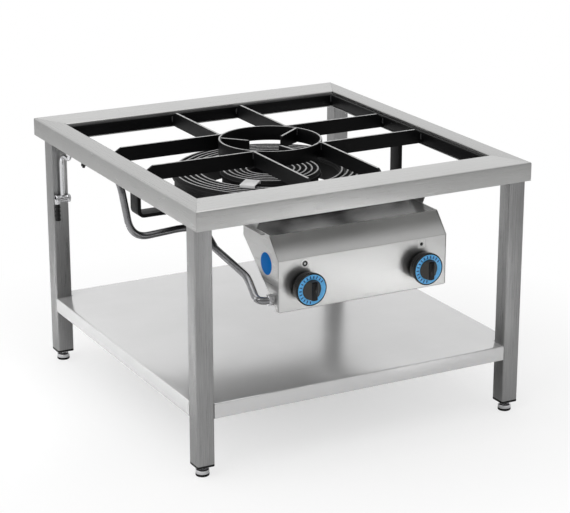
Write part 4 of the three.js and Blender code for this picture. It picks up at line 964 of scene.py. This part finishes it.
class RANGE_OT_burner(Operator):
    """Two ring castings with ridged caps, their mixing tubes, the strap and the pilot shroud"""
    bl_idname = "stove.burner"
    bl_label = "Burner"

    def execute(self, context):
        sizes = context.scene.range_sizes
        span = sizes.ridge_count * sizes.ridge_pitch / MM
        height = 6.0
        tree = ridge_tree()
        ridge = fillet([(-3.6, -0.5), (-1.5, 6, 1.2), (1.5, 6, 1.2), (3.6, -0.5)], 3)
        section = loop_object("ridge_section", [(x, y + height) for x, y in ridge])
        plate = fillet([(-span, 0, 0.6), (0, 0, 0.6), (0, height, 1.0), (-span, height, 1.0)], 3)
        edge = loop_object("plate_section", plate)
        for name, outer, segments in (("outer", 167.0, 128), ("inner", 86.0, 96)):
            cap = evaluated(f"{name}_ridged_cap", tree, {
                "Outer radius": outer * MM, "Base": CAP_BOTTOM * MM, "Ridge pitch": sizes.ridge_pitch,
                "Ridges": sizes.ridge_count, "Segments": segments, "Centre": BURNER * MM,
                "Section": section, "Edge": edge})
            bm = bmesh.new()
            bm.from_mesh(cap.data)
            bmesh.ops.recalc_face_normals(bm, faces=bm.faces)
            bm.to_mesh(cap.data)
            bm.free()
            cap.data.set_sharp_from_angle(angle=math.radians(50))
            dress(cap, "table", "burner_iron", "iron", f"{name}_burner_cap")
        for helper in (section, edge):
            bpy.data.objects.remove(helper)
        self.castings()
        self.strap()
        shroud = refined("pilot_cover", "pilot_shroud", 0.5, 2)
        # The pilot shroud's near-white tone is a painted reflection.
        dress(shroud, "table", "bright_plate", "satin_plate", "pilot_shroud")
        return {'FINISHED'}

    def castings(self):
        """A ring trough under each cap, with its mixing tube and the tube's flared mouth."""
        wall, tube_radius = 5, 10
        z0, z1 = CASTING_BOTTOM, CAP_BOTTOM - SEAT_GAP
        throat = MOUTH_Y + MOUTH_LENGTH
        bell = fillet([(tube_radius, 12), (MOUTH_RADIUS, 2, 2), (MOUTH_RADIUS, 0, 0.8), (13.5, 0, 0.8),
                       (13.5, 1, 1), (6.5, 12)], 4, closed=False)
        for name, outer, inner, x in (("outer", 163.0, 121.0, KNOB_X), ("inner", 82.0, 40.0, -KNOB_X)):
            trough = fillet([
                (inner, z0, 3), (outer, z0, 3), (outer, z1, 1), (outer - wall, z1, 0.5),
                (outer - wall, z0 + wall, 2), (inner + wall, z0 + wall, 2), (inner + wall, z1, 0.5),
                (inner, z1, 1)], 3)
            bm = lathe(trough, 96, BURNER, closed=True)
            z = extent(f"{name}_burner_body")[0].z + MOUTH_RADIUS
            if name == "outer":
                # The straight tube ends just inside the trough's round wall.
                end = BURNER.y - math.sqrt((outer - 2) ** 2 - x ** 2)
                path = [Vector((x, throat, z)), Vector((x, end, z))]
            else:
                # The bent one comes down out of the trough's middle, and runs under the outer ring.
                middle, turn = (outer + inner) / 2, math.radians(-138)
                drop_x, drop_y = middle * math.cos(turn), BURNER.y + middle * math.sin(turn)
                path = rounded_path([(drop_x, drop_y, z0 + 2.5), (drop_x, drop_y, z, 18),
                                     (x, throat + 30, z, 18), (x, throat, z)])
            join(bm, pipe(path, tube_radius, 32))
            join(bm, lathe([(r, -h) for r, h in bell], 40, (x, MOUTH_Y, z), "Y"))
            dress(piece(f"{name}_ring_casting", bm, 45), "table", "burner_iron", "iron_plain",
                  f"{name}_burner_body")

    def strap(self):
        """Flat bar bent into a cradle, with its two lugs under the ledge."""
        lug = HANG_TOP - STRAP_THICKNESS / 2
        bend_x, end_x, half_width = 250, 264.5, 15
        line = [(-end_x, lug), (-bend_x, lug), (-bend_x, STRAP_LEVEL), (bend_x, STRAP_LEVEL),
                (bend_x, lug), (end_x, lug)]
        outline = strip_outline(line, STRAP_THICKNESS, 12, 6)
        bm = extrude(outline, "Y", BURNER.y - half_width, BURNER.y + half_width, 0.9, 2)
        dress(piece("burner_strap", bm, 40), "table", "grate_enamel", "enamel_plain", "burner_hanger")


# ------------------------------------------------------------------ control box
class RANGE_OT_control_box(Operator):
    """Bent front panel and two side plates, with a round sticker and a mark over each knob"""
    bl_idname = "stove.control_box"
    bl_label = "Control box"

    def execute(self, context):
        y0, z0 = PANEL_LOW.y, PANEL_LOW.z
        half = SHEET / 2
        top = z0 + BOX_HEIGHT - half
        line = [(y0 + 12, z0 + half), (y0 + half, z0 + half), (y0 + half, z0 + FACE_HEIGHT - half),
                (y0 + SLOPE_DEPTH + half, top), (PANEL_HIGH.y, top)]
        reach = PANEL_HIGH.x
        bm = extrude(strip_outline(line, SHEET, 2.6, 6), "X", -reach, reach, 0.25, 1)
        # The level strip along the top takes the second finish, painted dark as a reflection of the burner
        # over it.
        bm.normal_update()
        for face in bm.faces:
            if abs(face.normal.z) > 0.9 and face.calc_center_median().z > top - 5:
                face.material_index = 1
        dress(piece("panel_sheet", bm, 40), "table", "box_steel", ["box", "box_top_painted_dark"], "control_panel")
        for side, way in (("left", -1), ("right", 1)):
            # The side plates take the darker Y-ground sheet, whose tone is painted shade.
            dress(piece(f"box_plate_{side}", self.side_plate(way, y0, z0), 40), "table", "box_steel",
                  "sheet_y", f"box_side_{side}")
        self.labels(y0)
        return {'FINISHED'}

    def side_plate(self, way, y0, z0):
        """A plate with its ear up to the ledge; the left one has a flange outward along its top."""
        top = z0 + BOX_HEIGHT
        inside = BOX_HALF - SHEET
        outline = fillet([
            (y0, z0, 1.5), (PANEL_HIGH.y, top - 21, 3), (PANEL_HIGH.y, top, 1),
            (OPENING_FRONT + 16, HANG_TOP, 1.5), (OPENING_FRONT, HANG_TOP, 1.5),
            (OPENING_FRONT + 24, top, 1), (y0 + SLOPE_DEPTH, top, 2), (y0, z0 + FACE_HEIGHT, 2)], 4)
        bm = extrude(outline, "X", way * inside, way * BOX_HALF, 0.3, 1)
        if way < 0:
            start, flange_x, corner_x, tip = inside + 0.3, 158, 161, OPENING_FRONT - 4
            flange = fillet([(start, tip), (flange_x, tip, 3.5), (corner_x, tip, 3),
                             (corner_x, PANEL_HIGH.y, 3), (start, PANEL_HIGH.y)], 4)
            join(bm, extrude([(-x, y) for x, y in flange], "Z", top - SHEET, top, 0.3, 1))
        return bm

    def labels(self, y0):
        """A round blue sticker on the left plate and a small white mark over each knob."""
        centre = (-BOX_HALF - 0.05, TABLE_MIDDLE - 271, 317)
        disc = fillet([(0, 0), (18, 0, 0.1), (18, 0.3, 0.1), (0, 0.3)], 2, closed=False)
        bm = lathe([(r, -h) for r, h in disc], 64, centre, "X")
        dress(piece("round_sticker", bm), "table", "box_steel", "sticker")
        z, film = KNOB_Z + 36, 0.25
        for side, x in KNOBS:
            if side == "left":
                base = lathe([(0, 0), (6.8, 0), (6.8, film), (0, film)], 40, (x, y0, z), "Y")
                inner, outer = 1.9, 4.5
            else:
                corners = ((-1, -1), (1, -1), (1, 1), (-1, 1))
                square = fillet([(x + i * 6.5, z + j * 6.5, 0.8) for i, j in corners], 3)
                base = extrude(square, "Y", y0 - film, y0, 0)
                inner, outer = 0.0, 2.8
            dress(piece(f"mark_base_{side}", base), "table", "box_steel", "label")
            ring = [(inner, 0.2), (outer, 0.2), (outer, 0.4), (inner, 0.4)]
            mark = lathe(ring, 32, (x, y0, z), "Y", closed=True)
            dress(piece(f"mark_{side}", mark), "table", "box_steel", "ink")


# ------------------------------------------------------------------ knobs
def tick_tree():
    """Marks spaced round the dial: a short bar on each point of a circle, pointing to the centre."""
    tree, given = new_tree("Dial marks", [
        ("Radius", 'NodeSocketFloat', 0.0205), ("Count", 'NodeSocketInt', 22), ("First", 'NodeSocketInt', 2),
        ("Last", 'NodeSocketInt', 16), ("Mark size", 'NodeSocketVector', (0.0045, 0.0018, 0.0003)),
        ("Place", 'NodeSocketVector', (0.0, 0.0, 0.0))])
    ring = add_node(tree, "GeometryNodeCurvePrimitiveCircle", {
        "Resolution": given["Count"], "Radius": given["Radius"]}).outputs["Curve"]
    index = add_node(tree, "GeometryNodeInputIndex").outputs["Index"]
    after = add_node(tree, "FunctionNodeCompare", {2: index, 3: given["First"]},
                     data_type='INT', operation='GREATER_EQUAL').outputs[0]
    before = add_node(tree, "FunctionNodeCompare", {2: index, 3: given["Last"]},
                      data_type='INT', operation='LESS_EQUAL').outputs[0]
    chosen = add_node(tree, "FunctionNodeBooleanMath", {0: after, 1: before}, operation='AND').outputs[0]
    bar = add_node(tree, "GeometryNodeMeshCube", {"Size": given["Mark size"]}).outputs["Mesh"]
    where = add_node(tree, "GeometryNodeInputPosition").outputs["Position"]
    facing = add_node(tree, "FunctionNodeAlignRotationToVector", {"Vector": where},
                      axis='X').outputs["Rotation"]
    bars = add_node(tree, "GeometryNodeInstanceOnPoints", {
        "Points": ring, "Selection": chosen, "Instance": bar, "Rotation": facing}).outputs["Instances"]
    real = add_node(tree, "GeometryNodeRealizeInstances", {"Geometry": bars}).outputs["Geometry"]
    stood = add_node(tree, "GeometryNodeTransform", {
        "Geometry": real, "Rotation": (math.pi / 2, 0.0, 0.0),
        "Translation": given["Place"]}).outputs["Geometry"]
    return finish_tree(tree, stood, MATERIALS["dial_mark"], smooth=False)


class RANGE_OT_knobs(Operator):
    """Two push-and-turn knobs with their blue dials, spindles and collars"""
    bl_idname = "stove.knobs"
    bl_label = "Knobs"

    def execute(self, context):
        marks = tick_tree()
        front, flank_end, print_front = 19, 27.5, 19.05
        skirt = fillet([
            (4.3, 0), (23, 0, 0.6), (24, 1, 0.6), (24, 9, 2.5), (26.5, 12.5, 2.0), (26.5, 18, 1.0),
            (25.8, front, 0.4), (24.6, front, 0.2), (24.6, 17.2), (16, 17.2), (16, front), (4.3, front)],
            4, closed=False)
        ring = fillet([(16.3, 17.5), (24.3, 17.5, 0.2), (24.3, front, 0.4), (16.3, front, 0.3)], 3)
        for side, x in KNOBS:
            centre = (x, KNOB_BACK, KNOB_Z)
            bm = lathe(skirt, 72, centre, "Y")
            self.grip(bm, centre)
            # The hub's flanks take the lighter second finish: a painted sheen.
            for face in bm.faces:
                if front + 0.2 < KNOB_BACK - face.calc_center_median().y < flank_end:
                    face.material_index = 1
            dress(piece(f"knob_body_{side}", bm, 38), f"knob_{side}", "black_plastic",
                  ["phenolic", "phenolic_painted_sheen"], f"knob_{side}")
            dial = piece(f"dial_ring_{side}", lathe(ring, 72, centre, "Y", closed=True))
            dress(dial, f"knob_{side}", "dial_blue", "dial", f"dial_{side}")
            place = Vector((x, KNOB_BACK - print_front, KNOB_Z)) * MM
            ticks = evaluated(f"dial_marks_{side}", marks, {"Place": place})
            dress(ticks, f"knob_{side}", "dial_blue", "dial_mark")
            spindle = refined(f"spindle_rod_{side}", f"spindle_{side}", 0.4, 1)
            dress(spindle, f"knob_{side}", "valve_brass", "brass", f"spindle_{side}")
            collar = refined(f"collar_{side}", f"push_collar_{side}", 0.25, 1)
            dress(collar, f"push_{side}", "bright_plate", "plate", f"push_collar_{side}")
        return {'FINISHED'}

    def grip(self, bm, centre):
        """Hub with hollowed flanks that leave a straight grip across it."""
        x, y, z = centre
        # Each level has its depth from the knob's back, its half width and its radius.
        levels = ((19.0, 16.0, 16.0), (20.6, 13.0, 16.0), (22.4, 8.2, 15.8), (25.0, 5.8, 15.6),
                  (27.6, 5.0, 15.5), (28.6, 4.7, 15.2), (29.0, 4.1, 14.6))
        sides = 48
        rings = []
        for depth, width, reach in levels:
            ring = []
            for k in range(sides):
                a = math.tau * k / sides
                u, v = reach * math.cos(a), reach * math.sin(a)
                ring.append((x + max(-width, min(width, u)), y - depth, z + v))
            rings.append(ring)
        join(bm, loft(rings))


# ------------------------------------------------------------------ gas side
def straight(start, stop, radius, sides=28, cap=0.6):
    """A straight round pipe between two points."""
    return pipe([Vector(start), Vector(stop)], radius, sides, cap)


class RANGE_OT_gas_lines(Operator):
    """Supply and inlet pipes, tee, hose tail, rail, valves and injector pipes"""
    bl_idname = "stove.gas_lines"
    bl_label = "Gas lines"

    def execute(self, context):
        self.supply()
        self.inlet()
        start_x, stop_x, nut_start, nut_stop = -158, 128, -163.3, -153.3
        bm = straight((start_x, RAIL_Y, RAIL_Z), (stop_x, RAIL_Y, RAIL_Z), 5)
        join(bm, hexagon(9, nut_start, nut_stop, (RAIL_Y, RAIL_Z), "X", 1.0))
        dress(piece("rail_tube", bm), "table", "pipe_steel", "plate", "gas_rail")
        for side in ("left", "right"):
            valve = refined(f"valve_body_{side}", f"gas_valve_{side}", 0.8, 2)
            dress(valve, "table", "valve_brass", "brass", f"gas_valve_{side}")
            injector = refined(f"injector_{side}", f"injector_pipe_{side}", 0, 1, 0.1)
            dress(injector, "table", "valve_brass", "brass", f"injector_pipe_{side}")
        return {'FINISHED'}

    def supply(self):
        """The long bent pipe from behind the left leg to the rail, and the clip that holds it."""
        m = TABLE_MIDDLE
        low_z, end_y, end_z = 304, m - 294, 265
        route = rounded_path([
            (-LEG_X, m + 187.7, SUPPLY_Z), (-LEG_X, m - 3, SUPPLY_Z, 38), (-269, m - 17, low_z, 38),
            (-131, m + 6, low_z, 38), (-150, m - 85, 289, 60), (-165.1, m - 230, 285, 120),
            (-180.6, end_y, end_z, 14), (-163.6, end_y, end_z)], 14)
        dress(piece("supply_tube", pipe(route, 6, 28)), "table", "pipe_steel", "pipe", "supply_pipe")
        clip_y, inside, outside, half = m + 146, 6.05, 7.2, 5
        band = fillet([(inside, -half), (outside, -half, 0.4), (outside, half, 0.4), (inside, half)], 2)
        clip = lathe(band, 32, (-LEG_X, clip_y, SUPPLY_Z), "Y", closed=True)
        join(clip, straight((-LEG_X, clip_y, 403.5), (-LEG_X, clip_y, 387), 2.4, 16, 0.5))
        join(clip, hexagon(4.6, 390, 395, (-LEG_X, clip_y), "Z", 0.6))
        dress(piece("pipe_clip", clip), "table", "black_plastic", "nylon")

    def inlet(self):
        """The thin length behind, the tee under it with its nuts, and the ribbed hose tail."""
        bend_z = 386
        route = rounded_path([
            (-LEG_X, INLET_Y, 313.3), (-LEG_X, INLET_Y, bend_z, 18), (-LEG_X, INLET_Y - 36, bend_z, 10),
            (-LEG_X, INLET_Y - 48, SUPPLY_Z, 6), (-LEG_X, INLET_Y - 60, SUPPLY_Z)], 14)
        dress(piece("inlet_tube", pipe(route, 4, 24)), "table", "bright_plate", "plate", "inlet_pipe")
        bm = straight((TEE_X - 3, INLET_Y, TEE_Z), (TEE_X + 23, INLET_Y, TEE_Z), 6)
        for x in (TEE_X, TEE_X + 20):
            join(bm, hexagon(8, x - 3, x + 3, (INLET_Y, TEE_Z), "X", 0.7))
        join(bm, straight((TEE_X, INLET_Y, TEE_Z), (TEE_X, INLET_Y, TEE_Z - 9), 5, 24, 0.4))
        join(bm, hexagon(6.0, TEE_Z + 1, TEE_Z + 6, (-LEG_X, INLET_Y), "Z", 0.6))
        dress(piece("tee_fitting", bm), "table", "bright_plate", "plate", "inlet_tee")
        bottom, bore, barbs, pitch = 267.7, 2.5, 4, 7.5
        ribs = [(bore, bottom), (4, bottom)]
        for i in range(barbs):
            top = bottom + (i + 1) * pitch
            ribs += [(5.0, top - 6.9), (4.9, top - 5.6), (3.8, top - 0.3), (3.8, top)]
        ribs.append((bore, bottom + barbs * pitch))
        dress(piece("hose_barb", lathe(ribs, 28, (TEE_X, INLET_Y, 0), closed=True)), "table",
              "black_plastic", "nylon", "inlet_hose_tail")


# ------------------------------------------------------------------ stage
def world_light(scene):
    """White behind the object for the camera and in metal, a plain level of light elsewhere."""
    world = bpy.data.worlds.new("Studio")
    world.use_nodes = True
    scene.world = world
    tree = world.node_tree
    tree.nodes.clear()
    ray = add_node(tree, "ShaderNodeLightPath").outputs
    way = add_node(tree, "ShaderNodeSeparateXYZ", {
        "Vector": add_node(tree, "ShaderNodeTexCoord").outputs["Generated"]}).outputs
    # Behind the object the cove is white; towards the user the room is dimmer below the soft light.
    depth = add_node(tree, "ShaderNodeMapRange", {
        "Value": way["Y"], "From Min": -0.5, "From Max": 0.15, "To Min": 0.38, "To Max": 1.0},
        interpolation_type='SMOOTHSTEP').outputs["Result"]
    shiny = add_node(tree, "ShaderNodeMath", {0: ray["Is Glossy Ray"], 1: ray["Is Transmission Ray"]},
                     operation='MAXIMUM').outputs[0]
    level = add_node(tree, "ShaderNodeMix", {0: shiny, 2: 0.42, 3: depth}, data_type='FLOAT').outputs[0]
    level = add_node(tree, "ShaderNodeMix", {0: ray["Is Camera Ray"], 2: level, 3: 1.0},
                     data_type='FLOAT').outputs[0]
    back = add_node(tree, "ShaderNodeBackground", {"Color": linear("FFFFFF"), "Strength": level}).outputs[0]
    add_node(tree, "ShaderNodeOutputWorld", {"Surface": back})


def floor_material():
    """Pale matt floor near the object, which holds its shadow, fading to the white of the cove."""
    material, tree, where = new_material("White matt floor paint")
    reach = add_node(tree, "ShaderNodeVectorMath", {0: where}, operation='LENGTH').outputs["Value"]
    far = add_node(tree, "ShaderNodeMapRange", {
        "Value": reach, "From Min": 0.0, "From Max": 0.8, "To Min": 0.45}).outputs["Result"]
    ray = add_node(tree, "ShaderNodeLightPath").outputs
    seen = add_node(tree, "ShaderNodeMath", {0: ray["Is Camera Ray"], 1: ray["Is Transmission Ray"]},
                    operation='MAXIMUM').outputs[0]
    amount = add_node(tree, "ShaderNodeMath", {0: seen, 1: far}, operation='MULTIPLY').outputs[0]
    matt = add_node(tree, "ShaderNodeBsdfDiffuse", {"Color": linear("FAFAFA")}).outputs[0]
    white = add_node(tree, "ShaderNodeEmission", {"Color": linear("FFFFFF"), "Strength": 1.0}).outputs[0]
    mixed = add_node(tree, "ShaderNodeMixShader", {0: amount, 1: matt, 2: white}).outputs[0]
    add_node(tree, "ShaderNodeOutputMaterial", {"Surface": mixed})
    return material


# Each light has its place and target in metres, its size, its power in watts and its spread in degrees.
LIGHTS = {
    "Soft light above": ((-0.6, 0.3, 2.5), (0, 0, 0.2), (3.0, 3.0), 30, 180),
    "Soft light left": ((-2.8, -0.2, 1.8), (0, 0, 0.2), (3.0, 2.0), 20, 180),
    "Soft light of the edges": ((-1.9, -1.6, 2.4), (0, 0, 0.3), (0.5, 0.5), 7, 180),
    # These two only light the floor that the upright faces mirror: in front, and at the left.
    "Soft light on the floor in front": ((0.40, -1.15, 1.2), (0.40, -1.15, 0.0), (0.04, 0.8), 0.7, 11),
    "Soft light on the floor at the left": ((-0.62, 0.35, 1.2), (-0.62, 0.35, 0.0), (0.15, 0.8), 0.8, 30),
    "Soft light of the slope": ((1.1, -1.4, 2.3), (0, -0.3, 0.36), (1.5, 1.5), 1.6, 180),
}
# The camera that was fitted to the photograph: its place in metres, tilt and pan in degrees, and lens.
CAMERA_PLACE = (-1.47234, -2.78904, 1.25227)
CAMERA_TILT, CAMERA_PAN = 17.968, -28.176
FOCAL_PIXELS, PHOTO_WIDTH, SENSOR_WIDTH = 1931.07, 570, 36.0
# Half of the floor's side, in millimetres.
FLOOR_HALF = 9000


def soft_light(name, place, target, size, power, spread):
    """A rectangular light aimed at a point."""
    light = bpy.data.lights.new(name, 'AREA')
    light.shape = 'RECTANGLE'
    light.size, light.size_y = size
    light.energy = power
    light.spread = math.radians(spread)
    obj = bpy.data.objects.new(name, light)
    obj.location = place
    obj.rotation_euler = (Vector(target) - Vector(place)).to_track_quat('-Z', 'Y').to_euler()
    bpy.context.scene.collection.objects.link(obj)


class RANGE_OT_stage(Operator):
    """Floor, soft light, white background and the photograph's camera"""
    bl_idname = "stove.stage"
    bl_label = "Stage"

    def execute(self, context):
        scene = context.scene
        bm = bmesh.new()
        bmesh.ops.create_grid(bm, x_segments=2, y_segments=2, size=FLOOR_HALF)
        floor = piece("floor", bm)
        floor.data.materials.append(floor_material())
        world_light(scene)
        for name, settings in LIGHTS.items():
            soft_light(name, *settings)
        camera = bpy.data.objects.new("Camera", bpy.data.cameras.new("Camera"))
        scene.collection.objects.link(camera)
        camera.data.sensor_width = SENSOR_WIDTH
        camera.data.lens = FOCAL_PIXELS / PHOTO_WIDTH * SENSOR_WIDTH
        camera.data.clip_end = 50
        camera.location = CAMERA_PLACE
        camera.rotation_euler = (math.radians(90 - CAMERA_TILT), 0.0, math.radians(CAMERA_PAN))
        scene.camera = camera
        scene.view_settings.view_transform = 'Standard'
        return {'FINISHED'}


class RANGE_PT_build(Panel):
    """Lists the steps that build the range"""
    bl_label = "Stock pot range"
    bl_idname = "RANGE_PT_build"
    bl_space_type = 'VIEW_3D'
    bl_region_type = 'UI'
    bl_category = "Range"

    def draw(self, context):
        for group in (context.scene.range_sizes, context.scene.range_colours):
            for key in group.__annotations__:
                self.layout.prop(group, key)
        for step in STEPS:
            self.layout.operator(step.bl_idname)


STEPS = [RANGE_OT_table_top, RANGE_OT_legs, RANGE_OT_feet, RANGE_OT_shelf, RANGE_OT_grate,
         RANGE_OT_burner, RANGE_OT_control_box, RANGE_OT_knobs, RANGE_OT_gas_lines, RANGE_OT_stage]
CLASSES = [RangeSizes, RangeColours, *STEPS, RANGE_PT_build]


def register():
    for cls in CLASSES:
        bpy.utils.register_class(cls)
    bpy.types.Scene.range_sizes = PointerProperty(type=RangeSizes)
    bpy.types.Scene.range_colours = PointerProperty(type=RangeColours)


def unregister():
    del bpy.types.Scene.range_colours
    del bpy.types.Scene.range_sizes
    for cls in reversed(CLASSES):
        bpy.utils.unregister_class(cls)


def main():
    """Builds every piece and the stage."""
    register()
    make_materials(bpy.context.scene.range_colours)
    for step in STEPS:
        group, name = step.bl_idname.split(".")
        getattr(getattr(bpy.ops, group), name)()


if __name__ == "__main__":
    main()
